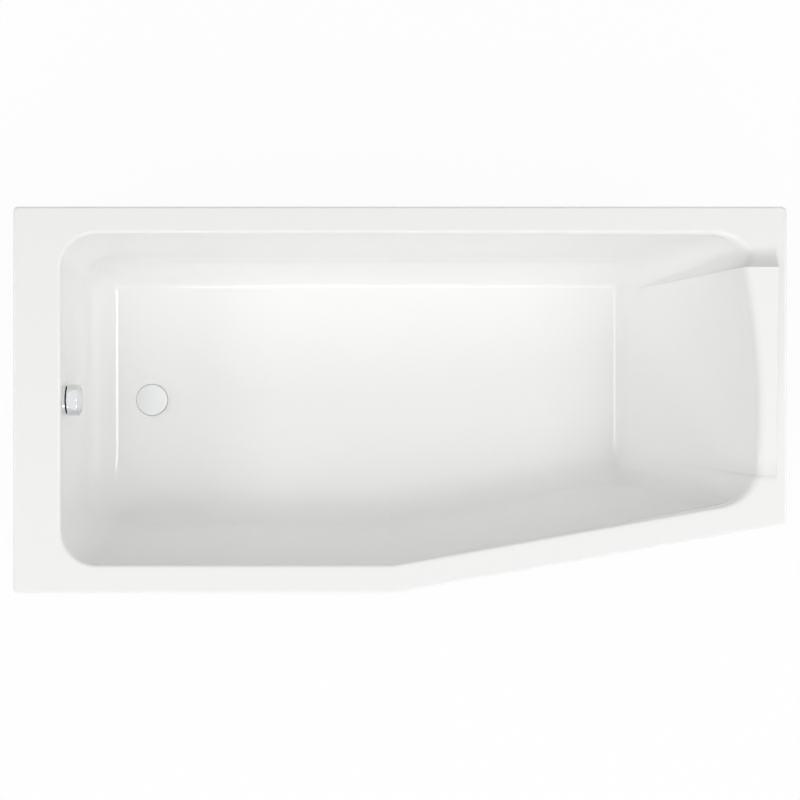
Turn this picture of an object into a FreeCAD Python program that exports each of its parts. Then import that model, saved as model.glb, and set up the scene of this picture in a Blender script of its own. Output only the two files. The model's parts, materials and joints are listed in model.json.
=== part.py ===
import FreeCAD, Part
import math
import os

# An asymmetric bathtub for a wall niche, with its waste set, overflow set, battens and levelling feet.
# Millimetres. X runs from the foot end, where the waste is, to the head end. Y runs from the open front
# to the wall. Z is up. The origin is on the floor, under the middle of the rim's box.

# Overall size
LENGTH = 1600.0
FOOT_END_WIDTH = 800.0
HEAD_SETBACK = 144.0
STRAIGHT_FRONT = 790.0
RIM_HEIGHT = 600.0
FLOOR_HEIGHT = 185.0
FLOOR_FALL_DEG = 0.5

# Shared working values
OVERRUN = 20.0
TOUCH = 0.01
FIT = 0.05
THREAD_FIT = 0.1

# Acrylic sheet and rim
SHEET = 5.0
RIM_DROP = 40.0
RIM_CORNER_R = 9.0
RIM_EDGE_R = 5.0
RIM_INNER_R = 7.0
RIM_FRONT = 58.0
RIM_HEAD = 74.0
RIM_WALL = 55.0
RIM_FOOT = 98.0

# Basin walls: how far each leans in between rim and floor, and its rounding into the floor
RUN_FRONT = 84.0
RUN_HEAD = 241.0
RUN_WALL = 44.0
RUN_FOOT = 12.0
FLOOR_R_FRONT = 80.0
FLOOR_R_HEAD = 30.0
FLOOR_R_WALL = 55.0
FLOOR_R_FOOT = 52.0
CORNER_R = 74.0
HEAD_BOW = 28.0

# Raised headrest panel
HEADREST_FROM_WALL = 127.0
HEADREST_FROM_FRONT = 101.0
HEADREST_ABOVE_FLOOR = 70.0
HEADREST_LIP = 22.0
HEADREST_PROUD_WALL = 18.0
HEADREST_PROUD_FRONT = 2.5
HEADREST_TAPER_WALL = 26.0
HEADREST_TAPER_FRONT = 32.0
HEADREST_FLANK_WALL = 44.0
HEADREST_FLANK_FRONT = 4.0
HEADREST_FLANK_LOW = 5.0
HEADREST_SINK = 0.6
HEADREST_EDGE_R = 8.0
HEADREST_OUTER_R = 1.5
PANEL_SHARES = (0.0, 0.25, 0.5, 0.75, 1.0)
FLANK_SHARES = (0.0, 0.15, 0.3, 0.5, 0.75, 1.0)

# Glass-fibre backing
BOND = 0.3
BACKING = 3.0
BACKING_BELOW_RIM = 12.0

# Timber battens under the rim
BATTEN_T = 22.0
BATTEN_TRIM = 45.0

# Wall brackets
BRACKET_SPACING = 900.0
BRACKET_W = 40.0
BRACKET_T = 3.0
BRACKET_REACH = 30.0
BRACKET_FALL = 48.0
BRACKET_HOLE_R = 3.5
BRACKET_HOLE_FALL = 26.0
BRACKET_SCREW_R = 2.0
BRACKET_SCREW_DEPTH = 16.0
BRACKET_SCREW_GAP = 20.0
BRACKET_HEAD_R = 4.0
BRACKET_HEAD_H = 2.5

# Base board
BOARD_T = 16.0
BOARD_MARGIN = 6.0
BOARD_FROM_DRAIN = 62.0

# Leg bars, a top-hat section each
BAR_FROM_FOOT = 395.0
BAR_FROM_HEAD = 470.0
BAR_H = 34.0
BAR_WEB = 36.0
BAR_FLANGE = 18.0
BAR_T = 2.0
BAR_FRONT_INSET = 104.0
BAR_WALL_INSET = 90.0
BAR_SCREW_R = 2.5
BAR_SCREW_DEPTH = 11.0
BAR_SCREW_HEAD_R = 5.0
BAR_SCREW_HEAD_H = 3.0
BAR_SCREW_INSET = 60.0

# Levelling feet
STUD_R = 6.0
STUD_ROOM = 4.0
STUD_CHAMFER = 1.0
FOOT_INSET = 32.0
FOOT_SOLE_R = 23.0
FOOT_SOLE_T = 3.0
FOOT_PAD_R = 26.0
FOOT_PAD_EDGE = 6.0
FOOT_PAD_NECK_R = 12.0
FOOT_PAD_H = 27.0
FOOT_SOCKET_DEPTH = 18.0
NUT_FLATS = 19.0
NUT_H = 10.0
WEB_HOLE_FIT = 0.5

# Waste: dish in the floor, flange, seals and body
DRAIN_FROM_FOOT = 234.0
DISH_R = 46.0
DISH_LIP = 2.5
DISH_DEPTH = 9.0
TAIL_R = 24.0
TAIL_L = 22.0
FLANGE_R = 34.5
FLANGE_T = 2.5
FLANGE_BORE_R = 21.0
WASTE_HOLE_FIT = 1.5
UPPER_SEAL_T = 1.5
LOWER_SEAL_T = 4.0
LOWER_SEAL_R = 38.0
SPIDER_HUB_R = 8.0
SPIDER_H = 14.0
SPOKES = 3
SPOKE_W = 4.0
BODY_FLANGE_R = 41.0
BODY_FLANGE_T = 4.0
BODY_WALL = 4.0
CHAMBER_DEPTH = 60.0
BACKING_HOLE_FIT = 3.0

# Plug
PLUG_R = 35.5
PLUG_T = 4.0
PLUG_EDGE_R = 1.5
PLUG_DOME_R = 400.0
PLUG_GAP = 2.0
PLUG_ROOM = 0.8
PLUG_NECK_R = 18.0
PLUG_SEAL_R = 26.0
STEM_R = 4.0
PLUG_LIFT = 12.0

# Lift lever in the waste body
LEVER_DROP = 50.0
LEVER_REACH = 26.0
LEVER_RISE = 24.0
LEVER_W = 6.0
LEVER_T = 5.0
LEVER_HUB_R = 6.0
LEVER_TIP_R = 4.0
LEVER_PIN_R = 2.5
LEVER_PLAY = 0.4
HOUSING_W = 18.0
HOUSING_WALL = 4.0
HOUSING_PLAY = 3.0

# Trap and outlet
PIPE_R = 20.0
PIPE_WALL = 2.2
SPIGOT_L = 22.0
SOCKET_WALL = 3.0
SOCKET_L = 16.0
SOCKET_LAP = 14.0
WASHER_H = 4.0
UNION_R = 29.0
UNION_LIP = 3.0
UNION_GRIP = 14.0
UNION_FLUTES = 12
UNION_FLUTE_R = 2.5
TRAP_BEND_R = 36.0
TRAP_LEG = 4.0
ELBOW_BEND_R = 28.0
ELBOW_LEG = 3.0
OUTLET_L = 150.0
CAP_BOSS_R = 14.0
CAP_BOSS_L = 30.0
CAP_R = 18.0
CAP_T = 9.0
CAP_WALL = 3.0
CAP_BAR_L = 24.0

# Overflow
OVERFLOW_DROP = 60.0
OVERFLOW_HOLE_R = 27.0
OVERFLOW_PLATE_R = 31.0
OVERFLOW_PLATE_T = 2.5
OVERFLOW_SLEEVE_R = 25.5
OVERFLOW_SLEEVE_L = 16.0
OVERFLOW_BORE_R = 22.0
OVERFLOW_HUB_R = 8.0
OVERFLOW_SEAL_T = 4.0
OVERFLOW_SEAL_R = 35.0
OVERFLOW_FLANGE_R = 36.0
OVERFLOW_FLANGE_T = 4.0
OVERFLOW_CHAMBER_R = 33.0
OVERFLOW_WALL = 3.0
OVERFLOW_DEPTH = 62.0
OVERFLOW_BOSS_L = 7.0
OVERFLOW_BACKING_FIT = 4.0
KNOB_R = 33.0
KNOB_GAP = 3.0
KNOB_T = 23.5
KNOB_EDGE_R = 2.0
KNOB_WALL = 3.0
KNOB_BOSS_R = 8.0
SPINDLE_R = 4.0
WHEEL_RIM = 3.0
WHEEL_CHEEK = 2.0
WHEEL_GROOVE_W = 4.0
KNOB_TURN_DEG = 90.0

# Overflow hose, its spigots and clamps
HOSE_BACK = 47.0
HOSE_SPIGOT_R = 14.5
HOSE_SPIGOT_BORE_R = 12.0
HOSE_SPIGOT_L = 36.0
HOSE_SHOULDER = 2.0
HOSE_WALL = 1.8
HOSE_RIB = 2.2
HOSE_RIB_PITCH = 6.0
HOSE_CUFF = 38.0
HOSE_BEND_R = 88.0
HOSE_INLET = 46.0
RIB_SHARES = (0.0, 0.2, 0.55, 0.75)
CLAMP_T = 1.2
CLAMP_W = 9.0
CLAMP_FROM_END = 8.0
CLAMP_LUG = 8.0
CLAMP_LUG_L = 14.0

# Control cable, its glands and clips
CABLE_R = 2.5
CABLE_BACK = 21.0
CABLE_BEND_R = 56.0
CABLE_SEAT = 8.0
CABLE_WIRE_R = 1.0
GLAND_R = 4.5
GLAND_L = 14.0
CLIP_T = 2.0
CLIP_W = 10.0
CLIP_PLAY = 0.3
CLIP_SHARES = (0.3, 0.75)

Vec = FreeCAD.Vector
X_AXIS = Vec(1, 0, 0)
Y_AXIS = Vec(0, 1, 0)
Z_AXIS = Vec(0, 0, 1)

SIDES = ("front", "angled", "head", "wall", "foot")
RIM_WIDTH = {"front": RIM_FRONT, "angled": RIM_FRONT, "head": RIM_HEAD, "wall": RIM_WALL, "foot": RIM_FOOT}
WALL_RUN = {"front": RUN_FRONT, "angled": RUN_FRONT, "head": RUN_HEAD, "wall": RUN_WALL, "foot": RUN_FOOT}
FLOOR_R = {"front": FLOOR_R_FRONT, "angled": FLOOR_R_FRONT, "head": FLOOR_R_HEAD,
           "wall": FLOOR_R_WALL, "foot": FLOOR_R_FOOT}

FOOT_X = -LENGTH / 2
HEAD_X = LENGTH / 2
WALL_Y = FOOT_END_WIDTH / 2
FRONT_Y = -FOOT_END_WIDTH / 2
CORNERS = (
    Vec(FOOT_X, FRONT_Y, 0),
    Vec(FOOT_X + STRAIGHT_FRONT, FRONT_Y, 0),
    Vec(HEAD_X, FRONT_Y + HEAD_SETBACK, 0),
    Vec(HEAD_X, WALL_Y, 0),
    Vec(FOOT_X, WALL_Y, 0),
)

FALL = math.radians(FLOOR_FALL_DEG)
DRAIN_X = FOOT_X + DRAIN_FROM_FOOT
BASIN_DEPTH = RIM_HEIGHT - FLOOR_HEIGHT
HEADREST_DROP = BASIN_DEPTH - HEADREST_ABOVE_FLOOR
SKIRT_Z = RIM_HEIGHT - RIM_DROP
SKIN = SHEET + BOND + BACKING

# Levels of the waste stack, from the dish down
DISH_Z = FLOOR_HEIGHT - DISH_DEPTH
FLANGE_Z = DISH_Z + UPPER_SEAL_T
PLUG_Z = FLANGE_Z + FLANGE_T + PLUG_GAP
BODY_TOP_Z = DISH_Z - SHEET - LOWER_SEAL_T
LEVER_Z = DISH_Z - LEVER_DROP
LEVER_SWING = 2 * math.asin(PLUG_LIFT / 2 / LEVER_REACH)
CHAMBER_R = TAIL_R + THREAD_FIT
CHAMBER_Z = BODY_TOP_Z - CHAMBER_DEPTH
SPIGOT_END_Z = CHAMBER_Z - BODY_WALL - SPIGOT_L
SOCKET_Z = SPIGOT_END_Z + SOCKET_LAP
BEND_Z = SOCKET_Z - SOCKET_L - TRAP_LEG
CABLE_Z = LEVER_Z + LEVER_RISE

# Overflow place on the foot wall, and its level turned square to that wall
FOOT_LEAN = math.atan2(RUN_FOOT, BASIN_DEPTH)
OVERFLOW_POINT = Vec(FOOT_X + RIM_FOOT + OVERFLOW_DROP * math.tan(FOOT_LEAN), 0, RIM_HEIGHT - OVERFLOW_DROP)
OVERFLOW_AXIS = Vec(math.cos(FOOT_LEAN), 0, math.sin(FOOT_LEAN))
OVERFLOW_PLACE = FreeCAD.Placement(OVERFLOW_POINT, FreeCAD.Rotation(Z_AXIS, OVERFLOW_AXIS))
CHAMBER_FRONT = SHEET + OVERFLOW_SEAL_T
HOSE_X = OVERFLOW_POINT.x - HOSE_BACK
CABLE_X = OVERFLOW_POINT.x - CABLE_BACK
HOSE_TOP_Z = OVERFLOW_POINT.z - OVERFLOW_CHAMBER_R - OVERFLOW_WALL - HOSE_SHOULDER
HOSE_END_X = DRAIN_X - HOSE_INLET
HOSE_CUFF_R = HOSE_SPIGOT_R + FIT + HOSE_WALL
HOSE_CREST_R = HOSE_CUFF_R + HOSE_RIB
LEVER_SWEEP = LEVER_RISE * math.sin(LEVER_SWING / 2)
WHEEL_GROOVE_R = 2 * LEVER_SWEEP / math.radians(KNOB_TURN_DEG)
WHEEL_R = WHEEL_GROOVE_R + WHEEL_RIM
GLAND_X = DRAIN_X - LEVER_REACH - LEVER_T - LEVER_SWEEP - HOUSING_PLAY - HOUSING_WALL


def cylinder(base, axis, radius, length):
    return Part.makeCylinder(radius, length, base, axis)


def drill(base, axis, radius, length):
    """A round cut that runs past both ends of the length that it goes through."""
    return cylinder(base - axis * OVERRUN, axis, radius, length + 2 * OVERRUN)


def ring(base, axis, outer, inner, length):
    return cylinder(base, axis, outer, length).cut(drill(base, axis, inner, length))


def edges_above(shape, level):
    return [edge for edge in shape.Edges if edge.BoundBox.ZMin > level - TOUCH]


def block(low, high):
    size = high - low
    return Part.makeBox(size.x, size.y, size.z, low)


def prism(points, low, height):
    loop = [Vec(point.x, point.y, low) for point in points]
    return Part.Face(Part.makePolygon(loop + loop[:1])).extrude(Z_AXIS * height)


def joined(first, *others):
    return first.fuse(list(others)).removeSplitter()


def one_solid(shape):
    return shape.Solids[0]


def side_plane(index, inset, run=0.0, grow=0.0):
    """A side of the outline moved inwards and leaning in by run over the depth, as normal and distance."""
    start = CORNERS[index]
    along = (CORNERS[(index + 1) % len(CORNERS)] - start).normalize()
    inward = Vec(-along.y, along.x, 0)
    lean = math.atan2(run, BASIN_DEPTH)
    normal = inward * math.cos(lean) + Z_AXIS * math.sin(lean)
    point = start + inward * inset + Z_AXIS * RIM_HEIGHT - normal * grow
    return normal, normal.dot(point)


def meet(first, second, third):
    """The point where three planes meet."""
    (normal_a, a), (normal_b, b), (normal_c, c) = first, second, third
    across = normal_b.cross(normal_c)
    total = across * a + normal_c.cross(normal_a) * b + normal_a.cross(normal_b) * c
    return total * (1 / normal_a.dot(across))


def corner_points(planes, level):
    return [meet(planes[index - 1], planes[index], level) for index in range(len(planes))]


def inset_outline(insets):
    planes = [side_plane(index, insets[side]) for index, side in enumerate(SIDES)]
    return corner_points(planes, (Z_AXIS, 0))


def floor_level(grow):
    normal = Vec(-math.sin(FALL), 0, math.cos(FALL))
    return normal, normal.dot(Vec(DRAIN_X, 0, FLOOR_HEIGHT) - normal * grow)


def floor_z(x, grow):
    """Height of the floor, or of a layer under it, above the point x on the middle line."""
    return FLOOR_HEIGHT - grow / math.cos(FALL) + (x - DRAIN_X) * math.tan(FALL)


def basin_corners(grow, top):
    planes = [side_plane(index, RIM_WIDTH[side], WALL_RUN[side], grow) for index, side in enumerate(SIDES)]
    return corner_points(planes, floor_level(grow)), corner_points(planes, (Z_AXIS, top))


def basin(grow, top):
    """The hollow of the tub up to a level, or a layer round it that is thicker by grow on every side."""
    low, high = basin_corners(grow, top)
    faces = []
    edges = []
    for index, side in enumerate(SIDES):
        following = (index + 1) % len(SIDES)
        a, b, c, d = low[index], low[following], high[following], high[index]
        if side == "head":
            bow = HEAD_BOW * (top - a.z) / (RIM_HEIGHT - a.z)
            edge = Part.Arc(d, (c + d) / 2 + X_AXIS * bow, c).toShape()
            faces.append(Part.makeRuledSurface(Part.makeLine(a, b), edge))
        else:
            edge = Part.makeLine(d, c)
            faces.append(Part.Face(Part.makePolygon([a, b, c, d, a])))
        edges.append(edge)
    faces.append(Part.Face(Part.makePolygon(low + low[:1])))
    faces.append(Part.Face(Part.Wire(edges)))
    shell = Part.makeShell(faces)
    shell.sewShape()
    solid = Part.makeSolid(shell)
    upright = [edge for edge in solid.Edges if joins(edge, low, high)]
    return floor_rounded(solid.makeFillet(CORNER_R + grow, upright), low, grow)


def joins(edge, low, high):
    """True for an edge that runs from a floor corner up to the rim corner above it."""
    ends = [vertex.Point for vertex in edge.Vertexes]
    for a, b in zip(low, high):
        straight = ends[0].isEqual(a, TOUCH) and ends[-1].isEqual(b, TOUCH)
        turned = ends[0].isEqual(b, TOUCH) and ends[-1].isEqual(a, TOUCH)
        if straight or turned:
            return True
    return False


def floor_rounded(solid, low, grow):
    """Rounds the floor edge, with each wall's own radius and an even change from one to the next."""
    document = FreeCAD.newDocument("basin")
    base = document.addObject("Part::Feature", "walls")
    base.Shape = solid
    rounding = document.addObject("Part::Fillet", "rounding")
    rounding.Base = base
    chosen = []
    for index, side in enumerate(SIDES):
        start = low[index]
        along = (low[(index + 1) % len(low)] - start).normalize()
        for number, edge in enumerate(solid.Edges, 1):
            ends = [vertex.Point for vertex in edge.Vertexes]
            if max((end - start).cross(along).Length for end in ends) < TOUCH:
                radius = FLOOR_R[side] + grow
                chosen.append((number, radius, radius))
    rounding.Edges = chosen
    document.recompute()
    result = rounding.Shape.copy()
    FreeCAD.closeDocument(document.Name)
    return result


def rim_tray():
    """The flat rim with its turned-down skirt, still closed over the basin."""
    tray = prism(CORNERS, SKIRT_Z, RIM_DROP)
    tray = tray.makeFillet(RIM_CORNER_R, [edge for edge in tray.Edges if edge.BoundBox.ZLength > TOUCH])
    tray = tray.makeFillet(RIM_EDGE_R, edges_above(tray, RIM_HEIGHT))
    hollow = inset_outline({side: SHEET for side in SIDES})
    return tray.cut(prism(hollow, SKIRT_Z - OVERRUN, RIM_DROP - SHEET + OVERRUN))


def inner_rim_edges(shape):
    tops = [face for face in shape.Faces if face.BoundBox.ZMin > RIM_HEIGHT - TOUCH]
    rim = max(tops, key=lambda face: face.Area)
    return [edge for wire in rim.Wires if not wire.isSame(rim.OuterWire) for edge in wire.Edges]


def backrest_x(y, z):
    """How far along the tub the backrest lies, at a height and a place across it."""
    low, high = basin_corners(0.0, RIM_HEIGHT)
    front = SIDES.index("head")
    wall = front + 1
    share = (z - low[front].z) / (RIM_HEIGHT - low[front].z)
    near = low[front] + (high[front] - low[front]) * share
    far = low[wall] + (high[wall] - low[wall]) * share
    across = (2 * y - near.y - far.y) / (far.y - near.y)
    return near.x + HEAD_BOW * share * (1 - across * across)


def rounded_loop(points, radii):
    """A closed flat loop through points, with an arc of the given radius at each corner that has one."""
    edges = []
    starts = []
    count = len(points)
    for index, corner in enumerate(points):
        radius = radii.get(index, 0.0)
        back = (points[index - 1] - corner).normalize()
        ahead = (points[(index + 1) % count] - corner).normalize()
        half = back.getAngle(ahead) / 2
        first = corner + back * (radius / math.tan(half))
        last = corner + ahead * (radius / math.tan(half))
        middle = corner + (back + ahead).normalize() * (radius / math.sin(half) - radius)
        starts.append((first, middle, last))
    for index, (first, middle, last) in enumerate(starts):
        if index in radii:
            edges.append(Part.Arc(first, middle, last).toShape())
        edges.append(Part.makeLine(last, starts[(index + 1) % count][0]))
    return Part.Wire(edges)


def headrest_section(top_y, low_y, proud):
    """Outline of the headrest panel in one plane, from the backrest over the edge onto the rim."""
    depth = SHEET / 2
    drift = (top_y - low_y) / HEADREST_DROP

    def place(x, z):
        return Vec(x, top_y + (z - RIM_HEIGHT) * drift, z)

    low_z = RIM_HEIGHT - HEADREST_DROP
    low_x = backrest_x(low_y, low_z) + HEADREST_SINK
    edge_x = backrest_x(top_y, RIM_HEIGHT)
    out_x = HEAD_X - HEADREST_LIP
    points = [
        place(low_x, low_z),
        place(edge_x - proud, RIM_HEIGHT + proud),
        place(out_x, RIM_HEIGHT + proud),
        place(out_x, RIM_HEIGHT - depth),
        place(edge_x + depth, RIM_HEIGHT - depth),
        place(low_x + depth / 2, low_z - depth / 2),
    ]
    return rounded_loop(points, {1: HEADREST_EDGE_R, 2: HEADREST_OUTER_R})


def headrest():
    """Panel that stands proud of the backrest and rim, most on its wall side, with a hollow ramp there."""
    wall_y = WALL_Y - HEADREST_FROM_WALL
    front_y = FRONT_Y + HEAD_SETBACK + HEADREST_FROM_FRONT
    wall_low = wall_y - HEADREST_TAPER_WALL
    front_low = front_y + HEADREST_TAPER_FRONT
    gain = HEADREST_PROUD_WALL - HEADREST_PROUD_FRONT
    panel = [
        headrest_section(front_y + share * (wall_y - front_y), front_low + share * (wall_low - front_low),
                         HEADREST_PROUD_FRONT + share * gain)
        for share in PANEL_SHARES
    ]
    ramp = [
        headrest_section(wall_y + share * HEADREST_FLANK_WALL, wall_low + share * HEADREST_FLANK_LOW,
                         HEADREST_PROUD_WALL * (1 - share) ** 2 - HEADREST_SINK * share)
        for share in FLANK_SHARES
    ]
    foot_of_step = headrest_section(front_y - HEADREST_FLANK_FRONT, front_low - HEADREST_FLANK_FRONT,
                                    -HEADREST_SINK)
    step = [foot_of_step, panel[0]]
    solid = joined(Part.makeLoft(step, True, True), Part.makeLoft(panel, True), Part.makeLoft(ramp, True))
    half = SHEET / 2
    within = basin(half, RIM_HEIGHT + OVERRUN).fuse(prism(CORNERS, RIM_HEIGHT - half, OVERRUN + half))
    return one_solid(solid.common(within))


def tub_shell():
    """The acrylic sheet: rim, skirt, basin, headrest panel, dish with the waste hole, and overflow hole."""
    half = SHEET / 2
    shape = rim_tray().fuse(basin(SHEET, RIM_HEIGHT - half))
    dish_back = cylinder(drain_point(DISH_Z - SHEET), Z_AXIS, DISH_R + SHEET, DISH_DEPTH + half)
    shape = shape.fuse(dish_back).cut(basin(0.0, RIM_HEIGHT + OVERRUN))
    shape = shape.makeFillet(RIM_INNER_R, inner_rim_edges(shape))
    shape = shape.fuse(headrest())
    pocket_r = PLUG_R + PLUG_ROOM
    pocket = cylinder(drain_point(DISH_Z), Z_AXIS, pocket_r, DISH_DEPTH)
    dish = Part.makeCone(pocket_r, 2 * DISH_R - pocket_r, 2 * DISH_LIP, drain_point(FLOOR_HEIGHT - DISH_LIP))
    hole = drill(drain_point(DISH_Z - SHEET), Z_AXIS, TAIL_R + WASTE_HOLE_FIT, SHEET)
    shape = shape.cut([joined(pocket, dish), hole, overflow_hole(OVERFLOW_HOLE_R)])
    return one_solid(shape.removeSplitter())


def overflow_hole(radius):
    return square_to_wall(drill(Z_AXIS * -SKIN, Z_AXIS, radius, SKIN))


def fibreglass_backing():
    """Laminate on the back of the basin, held off the sheet by the bond line."""
    inner = SHEET + BOND
    top = RIM_HEIGHT - BACKING_BELOW_RIM
    shape = basin(SKIN, top).cut(basin(inner, RIM_HEIGHT + OVERRUN))
    drain_r = DISH_R + SHEET + BACKING_HOLE_FIT
    drain = drill(drain_point(FLOOR_HEIGHT - SKIN), Z_AXIS, drain_r, SKIN)
    return one_solid(shape.cut([drain, overflow_hole(OVERFLOW_FLANGE_R + OVERFLOW_BACKING_FIT)]))


def batten(index):
    """Timber batten in the angle between the rim and the skirt, along one side."""
    inner = inset_outline({side: SHEET for side in SIDES})
    start, end = inner[index], inner[(index + 1) % len(inner)]
    along = (end - start).normalize()
    inward = Vec(-along.y, along.x, 0) * BATTEN_T
    start = start + along * BATTEN_TRIM
    end = end - along * BATTEN_TRIM
    return prism([start, end, end + inward, start + inward], SKIRT_Z, RIM_DROP - SHEET)


def bracket_screw_places():
    y = WALL_Y - SHEET - BATTEN_T / 2
    places = []
    for middle in (-BRACKET_SPACING / 2, BRACKET_SPACING / 2):
        for side in (-1, 1):
            places.append(Vec(middle + side * BRACKET_SCREW_GAP / 2, y, SKIRT_Z - BRACKET_T))
    return places


def wall_batten():
    shape = batten(SIDES.index("wall"))
    length = BRACKET_T + BRACKET_SCREW_DEPTH + TOUCH
    return shape.cut([cylinder(p, Z_AXIS, BRACKET_SCREW_R + TOUCH, length) for p in bracket_screw_places()])


def wall_brackets():
    """Angle brackets under the wall batten, flush with the wall side of the rim."""
    half = BRACKET_W / 2
    brackets = []
    for x in (-BRACKET_SPACING / 2, BRACKET_SPACING / 2):
        corner = Vec(x + half, WALL_Y, SKIRT_Z)
        flat = block(Vec(x - half, WALL_Y - BRACKET_REACH, SKIRT_Z - BRACKET_T), corner)
        leg = block(Vec(x - half, WALL_Y - BRACKET_T, SKIRT_Z - BRACKET_FALL), corner)
        hole_at = Vec(x, WALL_Y - BRACKET_T, SKIRT_Z - BRACKET_HOLE_FALL)
        hole = drill(hole_at, Y_AXIS, BRACKET_HOLE_R, BRACKET_T)
        holes = [drill(p, Z_AXIS, BRACKET_SCREW_R + FIT, BRACKET_T) for p in bracket_screw_places()]
        brackets.append(one_solid(joined(flat, leg).cut([hole] + holes)))
    return Part.makeCompound(brackets)


def screw(place, radius, depth, head_r, head_h):
    """A screw driven upwards, with its head under the given place."""
    head = cylinder(place - Z_AXIS * head_h, Z_AXIS, head_r, head_h)
    lower = [edge for edge in head.Edges if edge.BoundBox.ZMax < place.z - head_h + TOUCH]
    shank = cylinder(place, Z_AXIS, radius, depth)
    return one_solid(joined(head.makeFillet(head_h / 2, lower), shank))


def bracket_screws():
    depth = BRACKET_T + BRACKET_SCREW_DEPTH
    return Part.makeCompound([screw(p, BRACKET_SCREW_R, depth, BRACKET_HEAD_R, BRACKET_HEAD_H)
                              for p in bracket_screw_places()])


def front_side(outline, x):
    """How far across the tub the front of an outline lies, at a place along it."""
    bend, head = outline[1], outline[2]
    if x < bend.x:
        return bend.y
    return bend.y + (head.y - bend.y) * (x - bend.x) / (head.x - bend.x)


def bars():
    """Each leg bar: its name, place along the tub, and front end and wall end across it."""
    wall = WALL_Y - BAR_WALL_INSET
    places = (("foot_end", FOOT_X + BAR_FROM_FOOT), ("head_end", HEAD_X - BAR_FROM_HEAD))
    return [(name, x, front_side(CORNERS, x) + BAR_FRONT_INSET, wall) for name, x in places]


def bar_top(x):
    return floor_z(x - BAR_WEB / 2 - BAR_FLANGE, SKIN + BOARD_T)


def bar_screw_places():
    offset = (BAR_WEB + BAR_FLANGE) / 2
    board = board_outline()
    wall = board[SIDES.index("wall")].y - BAR_SCREW_INSET
    places = []
    for _, x, _, _ in bars():
        for y in (front_side(board, x) + BAR_SCREW_INSET, wall):
            for side in (-1, 1):
                places.append(Vec(x + side * offset, y, bar_top(x) - BAR_T))
    return places


def board_outline():
    insets = {side: RIM_WIDTH[side] + WALL_RUN[side] + FLOOR_R[side] + BOARD_MARGIN for side in SIDES}
    insets["foot"] = DRAIN_FROM_FOOT + BOARD_FROM_DRAIN
    return inset_outline(insets)


def base_board():
    """Board bonded under the floor, lying at the floor's own fall, with pilot holes for the bar screws."""
    points = [point - X_AXIS * DRAIN_X for point in board_outline()]
    board = prism(points, -BOARD_T, BOARD_T)
    lift = Vec(DRAIN_X, 0, floor_z(DRAIN_X, SKIN))
    board.Placement = FreeCAD.Placement(lift, FreeCAD.Rotation(Y_AXIS, -FLOOR_FALL_DEG))
    length = BAR_T + BAR_SCREW_DEPTH + TOUCH
    pilots = [cylinder(place, Z_AXIS, BAR_SCREW_R + TOUCH, length) for place in bar_screw_places()]
    return one_solid(board.cut(pilots))


def leg_bar(x, front, wall):
    """Top-hat steel bar across the tub, flanges up against the board, with a hole for each foot's stud."""
    top = bar_top(x)
    half = BAR_WEB / 2
    reach = half + BAR_FLANGE
    outer = block(Vec(x - half, front, top - BAR_H), Vec(x + half, wall, top))
    flanges = block(Vec(x - reach, front, top - BAR_T), Vec(x + reach, wall, top))
    inside = block(Vec(x - half + BAR_T, front - OVERRUN, top - BAR_H + BAR_T),
                   Vec(x + half - BAR_T, wall + OVERRUN, top + OVERRUN))
    holes = [cylinder(place, Z_AXIS, BAR_SCREW_R + FIT, BAR_H) for place in bar_screw_places()]
    for y in (front + FOOT_INSET, wall - FOOT_INSET):
        holes.append(cylinder(Vec(x, y, 0), Z_AXIS, STUD_R + WEB_HOLE_FIT, top))
    return one_solid(joined(outer, flanges).cut([inside] + holes))


def bar_screws():
    depth = BAR_T + BAR_SCREW_DEPTH
    return Part.makeCompound([screw(p, BAR_SCREW_R, depth, BAR_SCREW_HEAD_R, BAR_SCREW_HEAD_H)
                              for p in bar_screw_places()])


def feet():
    """Each foot: its name, its place, and the level of the bar web that it carries."""
    places = []
    for name, x, front, wall in bars():
        web = bar_top(x) - BAR_H
        places.append((name + "_front", x, front + FOOT_INSET, web))
        places.append((name + "_wall", x, wall - FOOT_INSET, web))
    return places


def hexagon(place, flats, height):
    radius = flats / 2 / math.cos(math.pi / 6)
    turns = [math.pi / 3 * number for number in range(6)]
    corners = [place + Vec(math.cos(turn), math.sin(turn), 0) * radius for turn in turns]
    return prism(corners, place.z, height)


def foot_nuts():
    """Two nuts on each stud, one under the web that carries the bar and one above that locks it."""
    nuts = []
    for _, x, y, web in feet():
        for level in (web - NUT_H, web + BAR_T):
            nut = hexagon(Vec(x, y, level), NUT_FLATS, NUT_H)
            nuts.append(one_solid(nut.cut(drill(Vec(x, y, level), Z_AXIS, STUD_R + FIT, NUT_H))))
    return Part.makeCompound(nuts)


def foot_stud(x, y, web):
    low = FOOT_SOLE_T + FOOT_PAD_H - FOOT_SOCKET_DEPTH
    stud = cylinder(Vec(x, y, low), Z_AXIS, STUD_R, web + BAR_H - STUD_ROOM - low)
    return stud.makeChamfer(STUD_CHAMFER, [edge for edge in stud.Edges if edge.BoundBox.ZLength < TOUCH])


def foot_pad(x, y):
    """Moulded pad: a disc that rises in a cone to a neck, with a socket for the stud."""
    base = Vec(x, y, FOOT_SOLE_T)
    disc = cylinder(base, Z_AXIS, FOOT_PAD_R, FOOT_PAD_EDGE)
    rise = FOOT_PAD_H - FOOT_PAD_EDGE
    cone = Part.makeCone(FOOT_PAD_R, FOOT_PAD_NECK_R, rise, base + Z_AXIS * FOOT_PAD_EDGE)
    low = base + Z_AXIS * (FOOT_PAD_H - FOOT_SOCKET_DEPTH)
    socket = cylinder(low, Z_AXIS, STUD_R + TOUCH, FOOT_SOCKET_DEPTH + OVERRUN)
    return one_solid(joined(disc, cone).cut(socket))


def foot_sole(x, y):
    return cylinder(Vec(x, y, 0), Z_AXIS, FOOT_SOLE_R, FOOT_SOLE_T)


def drain_point(z):
    return Vec(DRAIN_X, 0, z)


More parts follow.
